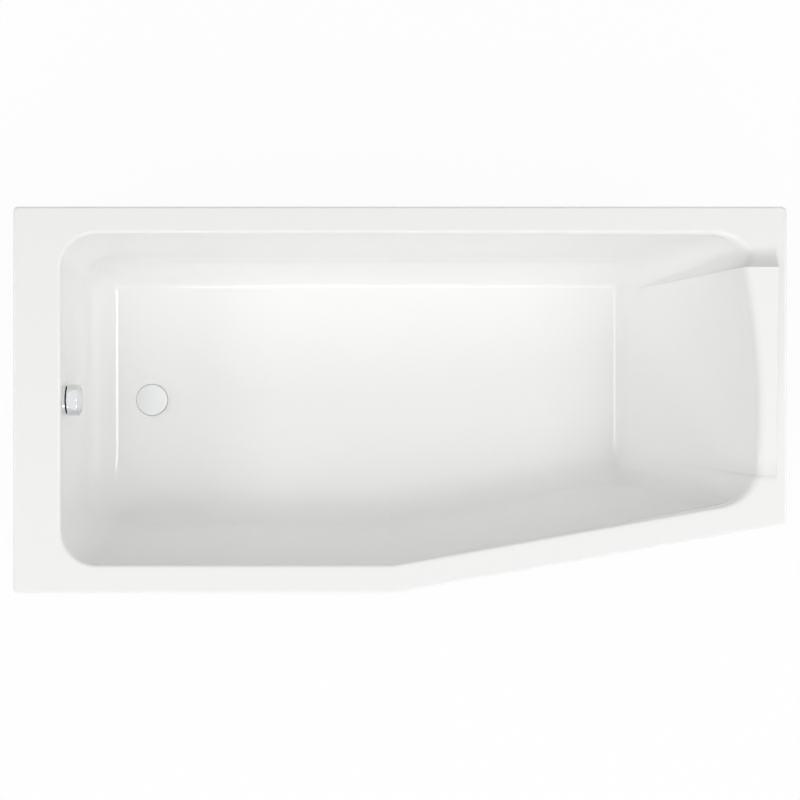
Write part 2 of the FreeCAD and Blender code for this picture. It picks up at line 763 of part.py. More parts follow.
def spider(place, hub_r, bore_r, rim_r, height):
    """Spokes from a hub out to a ring, along the upward axis."""
    arms = []
    for spoke in range(SPOKES):
        arm = block(Vec(0, -SPOKE_W / 2, 0), Vec(rim_r, SPOKE_W / 2, height))
        arm.rotate(Vec(0, 0, 0), Z_AXIS, 360 * (spoke + 0.5) / SPOKES)
        arm.translate(place)
        arms.append(arm)
    return joined(cylinder(place, Z_AXIS, hub_r, height), *arms).cut(drill(place, Z_AXIS, bore_r, height))


def waste_flange():
    """Flange on the dish with a tail through the hole, and a spider that guides the plug's stem."""
    plate = cylinder(drain_point(FLANGE_Z), Z_AXIS, FLANGE_R, FLANGE_T)
    plate = plate.makeFillet(FLANGE_T / 2, edges_above(plate, FLANGE_Z + FLANGE_T))
    tail = cylinder(drain_point(DISH_Z - TAIL_L), Z_AXIS, TAIL_R, TAIL_L + UPPER_SEAL_T)
    bore = drill(drain_point(DISH_Z - TAIL_L), Z_AXIS, FLANGE_BORE_R, TAIL_L)
    middle = (FLANGE_BORE_R + TAIL_R) / 2
    guide = spider(drain_point(DISH_Z - TAIL_L), SPIDER_HUB_R, STEM_R + FIT, middle, SPIDER_H)
    return one_solid(joined(plate, tail).cut(bore).fuse(guide).removeSplitter())


def waste_seal_upper():
    return ring(drain_point(DISH_Z), Z_AXIS, FLANGE_R - UPPER_SEAL_T / 2, TAIL_R + FIT, UPPER_SEAL_T)


def waste_seal_lower():
    return ring(drain_point(BODY_TOP_Z), Z_AXIS, LOWER_SEAL_R, TAIL_R + THREAD_FIT, LOWER_SEAL_T)


def waste_plug():
    """Domed cover on a neck that carries the seal, with the stem that the lever lifts."""
    cover = cylinder(drain_point(PLUG_Z), Z_AXIS, PLUG_R, PLUG_T)
    cover = cover.common(Part.makeSphere(PLUG_DOME_R, drain_point(PLUG_Z + PLUG_T - PLUG_DOME_R)))
    cover = cover.makeFillet(PLUG_EDGE_R, edges_above(cover, PLUG_Z + PLUG_EDGE_R))
    neck = cylinder(drain_point(FLANGE_Z), Z_AXIS, PLUG_NECK_R, PLUG_Z - FLANGE_Z)
    foot = LEVER_Z - PLUG_LIFT / 2 + LEVER_TIP_R + LEVER_PLAY
    stem = cylinder(drain_point(foot), Z_AXIS, STEM_R, PLUG_Z - foot)
    return one_solid(joined(cover, neck, stem))


def plug_seal():
    """Flat seal round the plug's neck, resting on the flange."""
    return ring(drain_point(FLANGE_Z + FLANGE_T), Z_AXIS, PLUG_SEAL_R, PLUG_NECK_R + FIT, PLUG_GAP)


def waste_body():
    """Chamber under the waste, with outlet spigot, hose inlet, lever housing and cable gland."""
    outer_r = CHAMBER_R + BODY_WALL
    flange = cylinder(drain_point(BODY_TOP_Z - BODY_FLANGE_T), Z_AXIS, BODY_FLANGE_R, BODY_FLANGE_T)
    chamber = cylinder(drain_point(CHAMBER_Z - BODY_WALL), Z_AXIS, outer_r, CHAMBER_DEPTH + BODY_WALL)
    spigot = cylinder(drain_point(SPIGOT_END_Z), Z_AXIS, PIPE_R, SPIGOT_L + BODY_WALL)
    inlet_end = Vec(HOSE_END_X - HOSE_SPIGOT_L, 0, LEVER_Z)
    inlet = cylinder(inlet_end, X_AXIS, HOSE_SPIGOT_R, DRAIN_X - inlet_end.x)
    shoulder_x = HOSE_END_X + HOSE_SHOULDER
    shoulder = cylinder(Vec(shoulder_x, 0, LEVER_Z), X_AXIS, HOSE_CUFF_R, DRAIN_X - shoulder_x)
    roof = CABLE_Z + GLAND_R + HOUSING_WALL
    housing = block(Vec(GLAND_X, -HOUSING_W / 2, LEVER_Z), Vec(DRAIN_X, HOUSING_W / 2, roof))
    gland = cylinder(Vec(GLAND_X - GLAND_L, 0, CABLE_Z), X_AXIS, GLAND_R, GLAND_L)
    shape = joined(flange, chamber, spigot, inlet, shoulder, housing, gland)
    inside = cylinder(drain_point(CHAMBER_Z), Z_AXIS, CHAMBER_R, CHAMBER_DEPTH + OVERRUN)
    outlet = drill(drain_point(SPIGOT_END_Z), Z_AXIS, PIPE_R - PIPE_WALL, SPIGOT_L)
    inlet_length = DRAIN_X - inlet_end.x + OVERRUN
    inlet_bore = cylinder(inlet_end - X_AXIS * OVERRUN, X_AXIS, HOSE_SPIGOT_BORE_R, inlet_length)
    slot_w = LEVER_W / 2 + HOUSING_PLAY / 2
    slot = block(Vec(GLAND_X + HOUSING_WALL, -slot_w, LEVER_Z), Vec(DRAIN_X, slot_w, roof - HOUSING_WALL))
    gland_end = Vec(GLAND_X - GLAND_L, 0, CABLE_Z)
    sheath = cylinder(gland_end - X_AXIS * OVERRUN, X_AXIS, CABLE_R + FIT, CABLE_SEAT + OVERRUN)
    wire = cylinder(gland_end, X_AXIS, CABLE_WIRE_R, GLAND_L + OVERRUN)
    shape = shape.cut([inside, outlet, inlet_bore, slot, sheath, wire, lever_pin_bar(FIT, OVERRUN)])
    return one_solid(shape.removeSplitter())


def lever_point():
    return Vec(DRAIN_X - LEVER_REACH, 0, LEVER_Z)


def lever_pin_bar(fit, extra):
    half = HOUSING_W / 2 + extra
    return cylinder(lever_point() - Y_AXIS * half, Y_AXIS, LEVER_PIN_R + fit, 2 * half)


def lever_pin():
    return lever_pin_bar(0.0, 0.0)


def lift_lever():
    """Bell crank on a pin: the cable draws its upper arm back, and its long arm pushes the stem up."""
    pivot = lever_point()
    half = LEVER_W / 2
    hub = cylinder(pivot - Y_AXIS * half, Y_AXIS, LEVER_HUB_R, LEVER_W)
    tip = cylinder(pivot + Vec(LEVER_REACH, -half, 0), Y_AXIS, LEVER_TIP_R, LEVER_W)
    end = cylinder(pivot + Vec(0, -half, LEVER_RISE), Y_AXIS, LEVER_T / 2, LEVER_W)
    thick = LEVER_T / 2
    long_arm = block(pivot - Vec(0, half, thick), pivot + Vec(LEVER_REACH, half, thick))
    short_arm = block(pivot - Vec(thick, half, 0), pivot + Vec(thick, half, LEVER_RISE))
    lever = joined(hub, tip, end, long_arm, short_arm).cut(lever_pin_bar(FIT, OVERRUN))
    lever.rotate(pivot, Y_AXIS, math.degrees(LEVER_SWING / 2))
    return one_solid(lever)


def outlet_point(z):
    return Vec(DRAIN_X + 2 * TRAP_BEND_R, 0, z)


def trap_bore(radius):
    """The U of the trap: two short legs and a half turn, as a round bar of one radius."""
    start = drain_point(BEND_Z)
    disc = Part.Face(Part.Wire(Part.makeCircle(radius, start, Z_AXIS)))
    turn = disc.revolve(start + X_AXIS * TRAP_BEND_R, Y_AXIS, -180)
    legs = [cylinder(point, Z_AXIS, radius, SOCKET_Z - BEND_Z) for point in (start, outlet_point(BEND_Z))]
    return joined(turn, *legs)


def trap_bend():
    """Trap bend with a socket on each leg and a side boss for the cleaning cap."""
    sockets = [cylinder(point, Z_AXIS, PIPE_R + SOCKET_WALL, SOCKET_L)
               for point in (drain_point(SOCKET_Z - SOCKET_L), outlet_point(SOCKET_Z - SOCKET_L))]
    middle = trap_low_point()
    boss = cylinder(middle, -Y_AXIS, CAP_BOSS_R, CAP_BOSS_L)
    shape = joined(trap_bore(PIPE_R), boss, *sockets)
    entries = [cylinder(point, Z_AXIS, PIPE_R + THREAD_FIT, SOCKET_LAP + OVERRUN)
               for point in (drain_point(SPIGOT_END_Z), outlet_point(SPIGOT_END_Z))]
    access = cylinder(middle, -Y_AXIS, CAP_BOSS_R - PIPE_WALL, CAP_BOSS_L + OVERRUN)
    return one_solid(shape.cut([trap_bore(PIPE_R - PIPE_WALL), access] + entries).removeSplitter())


def trap_low_point():
    return Vec(DRAIN_X + TRAP_BEND_R, 0, BEND_Z - TRAP_BEND_R)


def trap_cap():
    """Screwed cleaning cap over the boss, with a bar to turn it by."""
    face = trap_low_point() - Y_AXIS * CAP_BOSS_L
    cap = cylinder(face - Y_AXIS * CAP_WALL, Y_AXIS, CAP_R, CAP_T)
    cap = cap.cut(cylinder(face, Y_AXIS, CAP_BOSS_R + THREAD_FIT, CAP_T))
    low = face - Y_AXIS * (2 * CAP_WALL) - Vec(CAP_BAR_L / 2, 0, CAP_WALL / 2)
    bar = block(low, low + Vec(CAP_BAR_L, CAP_WALL, CAP_WALL))
    return one_solid(joined(cap, bar))


def union_points():
    return (drain_point(SOCKET_Z), outlet_point(SOCKET_Z))


def trap_washers():
    outer = PIPE_R + SOCKET_WALL
    return Part.makeCompound([ring(place, Z_AXIS, outer, PIPE_R + FIT, WASHER_H) for place in union_points()])


def union_nut(place):
    """Fluted nut that draws the washer onto the socket."""
    low = place - Z_AXIS * UNION_GRIP
    top = place + Z_AXIS * WASHER_H
    height = UNION_GRIP + WASHER_H + UNION_LIP
    nut = cylinder(low, Z_AXIS, UNION_R, height)
    thread_r = PIPE_R + SOCKET_WALL + THREAD_FIT
    cuts = [cylinder(low - Z_AXIS * OVERRUN, Z_AXIS, thread_r, UNION_GRIP + WASHER_H + OVERRUN),
            cylinder(top, Z_AXIS, PIPE_R + THREAD_FIT, UNION_LIP + OVERRUN)]
    for flute in range(UNION_FLUTES):
        turn = 2 * math.pi * flute / UNION_FLUTES
        centre = low + Vec(math.cos(turn), math.sin(turn), 0) * UNION_R
        cuts.append(drill(centre, Z_AXIS, UNION_FLUTE_R, height))
    return one_solid(nut.cut(cuts))


def trap_nuts():
    return Part.makeCompound([union_nut(place) for place in union_points()])


def elbow_bar(radius, extra):
    """Rise, quarter turn and level run to the wall of the outlet elbow, as a round bar of one radius."""
    start = outlet_point(SPIGOT_END_Z)
    turn_z = SOCKET_Z + WASHER_H + UNION_LIP + ELBOW_LEG
    foot = outlet_point(turn_z)
    rise = cylinder(start - Z_AXIS * extra, Z_AXIS, radius, turn_z - start.z + extra)
    disc = Part.Face(Part.Wire(Part.makeCircle(radius, foot, Z_AXIS)))
    turn = disc.revolve(foot + Y_AXIS * ELBOW_BEND_R, X_AXIS, -90)
    level = cylinder(foot + Vec(0, ELBOW_BEND_R, ELBOW_BEND_R), Y_AXIS, radius, OUTLET_L + extra)
    return joined(rise, turn, level)


def outlet_elbow():
    return one_solid(elbow_bar(PIPE_R, 0.0).cut(elbow_bar(PIPE_R - PIPE_WALL, OVERRUN)))


def square_to_wall(shape):
    """Places a shape modelled along Z with its zero on the inner face of the foot wall, into the tub."""
    shape.Placement = OVERFLOW_PLACE.multiply(shape.Placement)
    return shape


def overflow_knob():
    """Round turning knob, hollow behind, with a boss on the spindle."""
    low = OVERFLOW_PLATE_T + KNOB_GAP
    knob = cylinder(Z_AXIS * low, Z_AXIS, KNOB_R, KNOB_T)
    knob = knob.makeFillet(KNOB_EDGE_R, [edge for edge in knob.Edges if edge.BoundBox.ZLength < TOUCH])
    depth = KNOB_T - KNOB_WALL
    knob = knob.cut(cylinder(Z_AXIS * (low - OVERRUN), Z_AXIS, KNOB_R - KNOB_WALL, depth + OVERRUN))
    boss = cylinder(Z_AXIS * low, Z_AXIS, KNOB_BOSS_R, depth)
    bore = cylinder(Z_AXIS * (low - OVERRUN), Z_AXIS, SPINDLE_R + TOUCH, depth - KNOB_WALL + OVERRUN)
    return square_to_wall(one_solid(joined(knob, boss).cut(bore)))


def knob_spindle():
    low = -OVERFLOW_DEPTH + OVERFLOW_WALL
    top = OVERFLOW_PLATE_T + KNOB_GAP + KNOB_T - 2 * KNOB_WALL
    return square_to_wall(cylinder(Z_AXIS * low, Z_AXIS, SPINDLE_R, top - low))


def cable_wheel():
    """Grooved wheel on the spindle, in line with the cable's gland, that draws the cable."""
    width = 2 * WHEEL_CHEEK + WHEEL_GROOVE_W
    low = -CABLE_BACK - width / 2
    wheel = cylinder(Z_AXIS * low, Z_AXIS, WHEEL_R, width)
    groove = ring(Z_AXIS * (low + WHEEL_CHEEK), Z_AXIS, WHEEL_R + OVERRUN, WHEEL_GROOVE_R, WHEEL_GROOVE_W)
    bore = drill(Z_AXIS * low, Z_AXIS, SPINDLE_R + TOUCH, width)
    return square_to_wall(one_solid(wheel.cut([groove, bore])))


def overflow_flange():
    """Plate on the inside of the wall with a threaded sleeve, and a spider that carries the spindle."""
    plate = cylinder(Vec(0, 0, 0), Z_AXIS, OVERFLOW_PLATE_R, OVERFLOW_PLATE_T)
    sleeve = cylinder(Z_AXIS * -OVERFLOW_SLEEVE_L, Z_AXIS, OVERFLOW_SLEEVE_R, OVERFLOW_SLEEVE_L)
    bore = drill(Z_AXIS * -OVERFLOW_SLEEVE_L, Z_AXIS, OVERFLOW_BORE_R, OVERFLOW_SLEEVE_L)
    middle = (OVERFLOW_BORE_R + OVERFLOW_SLEEVE_R) / 2
    height = OVERFLOW_SLEEVE_L / 2
    guide = spider(Z_AXIS * (-height), OVERFLOW_HUB_R, SPINDLE_R + FIT, middle, height)
    return square_to_wall(one_solid(joined(plate, sleeve).cut(bore).fuse(guide).removeSplitter()))


def overflow_seal():
    inner = OVERFLOW_SLEEVE_R + THREAD_FIT
    return square_to_wall(ring(Z_AXIS * -CHAMBER_FRONT, Z_AXIS, OVERFLOW_SEAL_R, inner, OVERFLOW_SEAL_T))


def overflow_body():
    """Chamber behind the wall with the spindle's rear bearing, the hose spigot and the cable gland."""
    back = Z_AXIS * -OVERFLOW_DEPTH
    neck = OVERFLOW_SLEEVE_L + OVERFLOW_WALL
    face = Z_AXIS * -CHAMBER_FRONT
    flange = cylinder(face - Z_AXIS * OVERFLOW_FLANGE_T, Z_AXIS, OVERFLOW_FLANGE_R, OVERFLOW_FLANGE_T)
    chamber = cylinder(back, Z_AXIS, OVERFLOW_CHAMBER_R, OVERFLOW_DEPTH - CHAMBER_FRONT)
    rise = OVERFLOW_POINT.z - HOSE_TOP_Z
    spigot_end = Vec(HOSE_X, 0, HOSE_TOP_Z - HOSE_SPIGOT_L)
    gland_end = Vec(CABLE_X, 0, HOSE_TOP_Z - CABLE_SEAT)
    spigot = cylinder(spigot_end, Z_AXIS, HOSE_SPIGOT_R, rise + HOSE_SPIGOT_L)
    shoulder = cylinder(Vec(HOSE_X, 0, HOSE_TOP_Z), Z_AXIS, HOSE_CUFF_R, rise)
    gland = cylinder(gland_end, Z_AXIS, GLAND_R, rise + CABLE_SEAT)
    shape = joined(square_to_wall(joined(flange, chamber)), spigot, shoulder, gland)
    inner_r = OVERFLOW_CHAMBER_R - OVERFLOW_WALL
    room = cylinder(back + Z_AXIS * OVERFLOW_WALL, Z_AXIS, inner_r, OVERFLOW_DEPTH - neck - OVERFLOW_WALL)
    socket = drill(Z_AXIS * -neck, Z_AXIS, OVERFLOW_SLEEVE_R + THREAD_FIT, neck)
    shape = shape.cut([square_to_wall(room), square_to_wall(socket)])
    bearing = ring(back, Z_AXIS, OVERFLOW_HUB_R, SPINDLE_R + FIT, OVERFLOW_WALL + OVERFLOW_BOSS_L)
    plug = cylinder(back, Z_AXIS, OVERFLOW_HUB_R, OVERFLOW_WALL)
    shape = shape.fuse([square_to_wall(bearing), square_to_wall(plug)])
    bore_l = HOSE_SPIGOT_L + HOSE_SHOULDER + OVERFLOW_WALL + OVERFLOW_BOSS_L
    spigot_bore = cylinder(spigot_end - Z_AXIS * OVERRUN, Z_AXIS, HOSE_SPIGOT_BORE_R, bore_l + OVERRUN)
    seat = cylinder(gland_end - Z_AXIS * OVERRUN, Z_AXIS, CABLE_R + FIT, CABLE_SEAT + OVERRUN)
    wire = cylinder(gland_end, Z_AXIS, CABLE_WIRE_R, CABLE_SEAT + OVERFLOW_WALL + OVERRUN / 2)
    return one_solid(shape.cut([spigot_bore, seat, wire]).removeSplitter())


def bent_route(x, top, bend_r, end):
    """A route in the tub's middle plane: straight down, a quarter turn and level to its end."""
    corner = Vec(x, 0, end.z)
    first = corner + Z_AXIS * bend_r
    last = corner + X_AXIS * bend_r
    centre = first + X_AXIS * bend_r
    middle = centre - (X_AXIS + Z_AXIS) * (bend_r / math.sqrt(2))
    turn = Part.Arc(first, middle, last).toShape()
    return Part.Wire([Part.makeLine(Vec(x, 0, top), first), turn, Part.makeLine(last, end)])


def route_frames(wire):
    """Point and heading at a distance along a route, as a function."""
    lengths = [edge.Length for edge in wire.Edges]

    def frame(distance):
        rest = distance
        for edge, length in zip(wire.Edges, lengths):
            if rest <= length + TOUCH:
                at = edge.getParameterByLength(min(rest, length))
                return edge.valueAt(at), edge.tangentAt(at)
            rest -= length
        return edge.valueAt(edge.LastParameter), edge.tangentAt(edge.LastParameter)

    return frame


def hose_route():
    return bent_route(HOSE_X, HOSE_TOP_Z, HOSE_BEND_R, Vec(HOSE_END_X, 0, LEVER_Z))


def round_sweep(wire, radius):
    start = wire.Edges[0]
    profile = Part.Wire(Part.makeCircle(radius, start.valueAt(start.FirstParameter), Z_AXIS))
    return wire.makePipeShell([profile], True, False)


def overflow_hose():
    """Ribbed hose with plain cuffs, each rib rising from the cuff's outside and falling back to it."""
    wire = hose_route()
    frame = route_frames(wire)
    ribbed = wire.Length - 2 * HOSE_CUFF
    count = int(ribbed / HOSE_RIB_PITCH)
    pitch = ribbed / count
    stations = [(0.0, HOSE_CUFF_R)]
    for rib in range(count):
        for share, radius in zip(RIB_SHARES, (HOSE_CUFF_R, HOSE_CREST_R, HOSE_CREST_R, HOSE_CUFF_R)):
            stations.append((HOSE_CUFF + (rib + share) * pitch, radius))
    stations.append((wire.Length, HOSE_CUFF_R))
    rings = []
    for distance, radius in stations:
        place, heading = frame(distance)
        circle = Part.Circle(place, heading, radius)
        circle.XAxis = Y_AXIS
        rings.append(Part.Wire(circle.toShape()))
    outside = Part.makeLoft(rings, True, True)
    hose = outside.cut(round_sweep(wire, HOSE_SPIGOT_R + FIT))
    print("hose length", round(wire.Length, 1), "ribs", count, "bend radius", HOSE_BEND_R,
          "volume", round(hose.Volume), "plain tube", round(tube_volume(wire)))
    return one_solid(hose)


def tube_volume(wire):
    bore = HOSE_SPIGOT_R + FIT
    return math.pi * (HOSE_CUFF_R ** 2 - bore ** 2) * wire.Length


def hose_clamp(place, axis, side):
    """Band round a cuff with its screw block."""
    low = place + axis * CLAMP_FROM_END
    band = ring(low, axis, HOSE_CUFF_R + FIT + CLAMP_T, HOSE_CUFF_R + FIT, CLAMP_W)
    along = axis.cross(side)
    centre = low + axis * (CLAMP_W / 2) + side * (HOSE_CUFF_R + CLAMP_LUG / 2)
    spread = [axis * (CLAMP_W / 2), along * (CLAMP_LUG_L / 2), side * (CLAMP_LUG / 2)]
    points = [centre + spread[0] + spread[1] + spread[2], centre - spread[0] - spread[1] - spread[2]]
    low_corner = Vec(*[min(values) for values in zip(*points)])
    high_corner = Vec(*[max(values) for values in zip(*points)])
    lug = block(low_corner, high_corner).cut(drill(low, axis, HOSE_CUFF_R + FIT, CLAMP_W))
    return one_solid(joined(band, lug))


def hose_clamps():
    upper = hose_clamp(Vec(HOSE_X, 0, HOSE_TOP_Z), -Z_AXIS, -X_AXIS)
    lower = hose_clamp(Vec(HOSE_END_X, 0, LEVER_Z), -X_AXIS, -Z_AXIS)
    return Part.makeCompound([upper, lower])


def control_cable():
    """Sheathed cable from the overflow's gland, inside the hose's bend, to the lever housing's gland."""
    end = Vec(GLAND_X - GLAND_L + CABLE_SEAT, 0, CABLE_Z)
    wire = bent_route(CABLE_X, HOSE_TOP_Z, CABLE_BEND_R, end)
    cable = round_sweep(wire, CABLE_R)
    section = math.pi * CABLE_R ** 2
    print("cable length", round(wire.Length, 1), "bend radius", CABLE_BEND_R, "volume", round(cable.Volume),
          "section times length", round(section * wire.Length))
    return one_solid(cable)


def cable_clips():
    """Clips that hold the cable to the straight of the hose."""
    straight = HOSE_TOP_Z - HOSE_CUFF - LEVER_Z - HOSE_BEND_R
    clips = []
    for share in CLIP_SHARES:
        z = LEVER_Z + HOSE_BEND_R + share * straight
        hose_r = HOSE_CREST_R + CLIP_PLAY
        cable_r = CABLE_R + FIT
        outer = cylinder(Vec(HOSE_X, 0, z), Z_AXIS, hose_r + CLIP_T, CLIP_W)
        small = cylinder(Vec(CABLE_X, 0, z), Z_AXIS, cable_r + CLIP_T, CLIP_W)
        bridge = block(Vec(HOSE_X, -CLIP_T / 2, z), Vec(CABLE_X, CLIP_T / 2, z + CLIP_W))
        bores = [drill(Vec(HOSE_X, 0, z), Z_AXIS, hose_r, CLIP_W),
                 drill(Vec(CABLE_X, 0, z), Z_AXIS, cable_r, CLIP_W)]
        clips.append(one_solid(joined(outer, small, bridge).cut(bores)))
    return Part.makeCompound(clips)


def nodes():
    """Every piece by name."""
    pieces = {
        "tub_shell": tub_shell(),
        "fibreglass_backing": fibreglass_backing(),
        "base_board": base_board(),
        "wall_brackets": wall_brackets(),
        "bracket_screws": bracket_screws(),
        "bar_screws": bar_screws(),
        "foot_nuts": foot_nuts(),
        "waste_flange": waste_flange(),
        "waste_seal_upper": waste_seal_upper(),
        "waste_seal_lower": waste_seal_lower(),
        "waste_plug": waste_plug(),
        "plug_seal": plug_seal(),
        "waste_body": waste_body(),
        "lift_lever": lift_lever(),
        "lever_pin": lever_pin(),
        "trap_bend": trap_bend(),
        "trap_cap": trap_cap(),
        "trap_washers": trap_washers(),
        "trap_nuts": trap_nuts(),
        "outlet_elbow": outlet_elbow(),
        "overflow_knob": overflow_knob(),
        "knob_spindle": knob_spindle(),
        "cable_wheel": cable_wheel(),
        "overflow_flange": overflow_flange(),
        "overflow_seal": overflow_seal(),
        "overflow_body": overflow_body(),
        "overflow_hose": overflow_hose(),
        "hose_clamps": hose_clamps(),
        "control_cable": control_cable(),
        "cable_clips": cable_clips(),
    }
    for index, side in enumerate(SIDES):
        pieces["batten_" + side] = wall_batten() if side == "wall" else batten(index)
    for name, x, front, wall in bars():
        pieces["leg_bar_" + name] = leg_bar(x, front, wall)
    for name, x, y, web in feet():
        pieces["foot_stud_" + name] = foot_stud(x, y, web)
        pieces["foot_pad_" + name] = foot_pad(x, y)
        pieces["foot_sole_" + name] = foot_sole(x, y)
    return pieces


os.makedirs("parts", exist_ok=True)
for node, shape in nodes().items():
    shape.exportStep("parts/" + node + ".step")
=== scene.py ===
# %% [markdown]
# # An asymmetric bathtub
# A white acrylic bathtub with an angled front, a raised headrest, a waste with its overflow, and a frame of
# legs underneath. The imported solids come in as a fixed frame, in metres. Everything that follows gives them
# finishes, adds what the solids leave plain, and sets the light and the camera.

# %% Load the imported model
import json
import math

import bmesh
import bpy
from mathutils import Matrix, Vector


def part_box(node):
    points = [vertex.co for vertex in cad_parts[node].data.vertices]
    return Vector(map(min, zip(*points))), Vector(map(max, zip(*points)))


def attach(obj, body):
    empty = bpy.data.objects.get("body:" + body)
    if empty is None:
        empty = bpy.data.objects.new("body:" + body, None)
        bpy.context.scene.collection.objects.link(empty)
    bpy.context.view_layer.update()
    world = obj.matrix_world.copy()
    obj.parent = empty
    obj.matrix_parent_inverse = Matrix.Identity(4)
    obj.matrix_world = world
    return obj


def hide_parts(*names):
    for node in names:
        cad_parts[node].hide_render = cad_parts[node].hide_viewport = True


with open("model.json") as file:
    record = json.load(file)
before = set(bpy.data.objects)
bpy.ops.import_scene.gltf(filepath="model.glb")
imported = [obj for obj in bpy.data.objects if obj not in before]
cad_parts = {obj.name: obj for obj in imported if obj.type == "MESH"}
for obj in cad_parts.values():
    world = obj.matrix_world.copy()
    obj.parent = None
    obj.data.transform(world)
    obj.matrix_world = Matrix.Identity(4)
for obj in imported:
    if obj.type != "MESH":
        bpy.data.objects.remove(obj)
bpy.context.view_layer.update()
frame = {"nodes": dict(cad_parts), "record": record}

nodes = frame["nodes"]

# %% [markdown]
# Three helpers serve every finish. Colours are written as sRGB hex, as a paint chart gives them, and shaders
# want linear values. A node tree is a list of nodes with inputs that are either set or linked, so one small
# function can add any of them, to a finish or to a shape. The third starts a finish and hands on the
# coordinates of the object, which its patterns follow.

# %% Colours and nodes
MM = 0.001


def linear(hex_colour):
    """An sRGB hex colour as linear RGBA."""
    channels = [int(hex_colour[start:start + 2], 16) / 255 for start in (1, 3, 5)]
    return [c / 12.92 if c <= 0.04045 else ((c + 0.055) / 1.055) ** 2.4 for c in channels] + [1.0]


def add(tree, kind, inputs=None, **settings):
    """Adds a node, sets its properties, and sets or links its inputs."""
    node = tree.nodes.new(kind)
    for name, value in settings.items():
        setattr(node, name, value)
    for key, value in (inputs or {}).items():
        if isinstance(value, bpy.types.NodeSocket):
            tree.links.new(value, node.inputs[key])
        else:
            node.inputs[key].default_value = value
    return node


def start_material(name):
    """An empty material, its tree and its object coordinates."""
    material = bpy.data.materials.new(name)
    material.use_nodes = True
    tree = material.node_tree
    tree.nodes.clear()
    return material, tree, add(tree, "ShaderNodeTexCoord").outputs["Object"]


print("mid grey is", round(linear("#808080")[0], 3), "in linear light")

# %% [markdown]
# ## Camera
# The picture looks straight down on the bath, with the wall side up. The outline keeps its proportions while
# the floor looks smaller than the rim, which gives the distance: about four metres above the rim.

# %% Camera
RIM_HEIGHT = 0.600
CAMERA_ABOVE_RIM = 4.0
VIEW_WIDTH_AT_RIM = 1.6534
SENSOR_WIDTH = 36.0
VIEW_REACH = 200.0

lens = bpy.data.cameras.new("camera")
lens.sensor_width = SENSOR_WIDTH
lens.lens = SENSOR_WIDTH * CAMERA_ABOVE_RIM / VIEW_WIDTH_AT_RIM
lens.clip_end = VIEW_REACH
camera = bpy.data.objects.new("camera", lens)
camera.location = (0.0, 0.0, RIM_HEIGHT + CAMERA_ABOVE_RIM)
bpy.context.scene.collection.objects.link(camera)
bpy.context.scene.camera = camera
bpy.context.scene.view_settings.view_transform = "Standard"
print("lens", round(lens.lens, 2), "mm")

# %% [markdown]
# ## Light and floor
# A white object on white lives from soft shading. The room gives some of the light, and large soft panels
# give the rest. A bright room alone would light every wall alike. So the room stays low as a lamp, and only
# looks white: to the camera, in mirrors and through glass.

# %% Room light
ROOM_LEVEL = 0.35


def seen_itself(tree):
    """One where a ray comes from the camera, a mirror or glass, and zero where it only carries light."""
    path = add(tree, "ShaderNodeLightPath").outputs
    seen = add(tree, "ShaderNodeMath", {0: path["Is Camera Ray"], 1: path["Is Glossy Ray"]},
               operation="MAXIMUM")
    return add(tree, "ShaderNodeMath", {0: seen.outputs[0], 1: path["Is Transmission Ray"]},
               operation="MAXIMUM").outputs[0]


world = bpy.data.worlds.new("room")
bpy.context.scene.world = world
world.use_nodes = True
room = world.node_tree
room.nodes.clear()
soft = add(room, "ShaderNodeBackground", {"Color": linear("#ffffff"), "Strength": ROOM_LEVEL})
white = add(room, "ShaderNodeBackground", {"Color": linear("#ffffff"), "Strength": 1.0})
mixed = add(room, "ShaderNodeMixShader", {0: seen_itself(room), 1: soft.outputs[0], 2: white.outputs[0]})
add(room, "ShaderNodeOutputWorld", {"Surface": mixed.outputs[0]})
print("room level", ROOM_LEVEL)

# %% [markdown]
# The panels stand about eight metres off, so that the rim is lit evenly. The strongest are towards the open
# front, which leaves the near wall of the basin darker than the wall side. The three smaller ones show as
# bright lines where the floor turns up into the walls. The broad ones would whiten the whole rim if it
# mirrored them, so they light the bath without a reflection of their own.

# %% Soft panels
BROAD = (4.0, 4.0)
NARROW = (1.6, 1.8)
TALL = (3.4, 2.2)
PANEL_AIM = Vector((0.05, 0.0, 0.4))
panels = {
    "over_front": ((0.0, -3.2, 8.0), 22.0, BROAD),
    "over_head_end": ((3.2, -2.4, 7.6), 98.0, BROAD),
    "over_foot_end": ((-3.2, -2.4, 7.6), 86.0, BROAD),
    "front": ((0.0, -6.4, 6.0), 90.0, TALL),
    "low_front": ((0.0, -7.0, 4.0), 20.0, BROAD),
    "head_end": ((5.2, 0.0, 6.0), 75.0, NARROW),
    "low_head_end": ((6.8, -1.2, 3.2), 65.0, BROAD),
    "foot_end": ((-5.2, 0.0, 6.0), 62.0, NARROW),
    "low_foot_end": ((-6.8, -1.2, 3.2), 42.0, BROAD),
}
for name, (place, watts, shape) in panels.items():
    light = bpy.data.lights.new(name, "AREA")
    light.shape = "RECTANGLE"
    light.size, light.size_y = shape
    light.energy = watts
    panel = bpy.data.objects.new(name, light)
    panel.location = place
    panel.rotation_euler = (PANEL_AIM - panel.location).to_track_quat("-Z", "Y").to_euler()
    panel.visible_camera = False
    panel.visible_glossy = shape != BROAD
    bpy.context.scene.collection.objects.link(panel)
print("panels", sum(watts for _, watts, _ in panels.values()), "W")

# %% [markdown]
# The floor is a plain white sheet, large enough for every view. Painted white and lit, it would show as a
# grey, so most of what is seen of it glows at just white, and the rest takes the shadow of the bath.

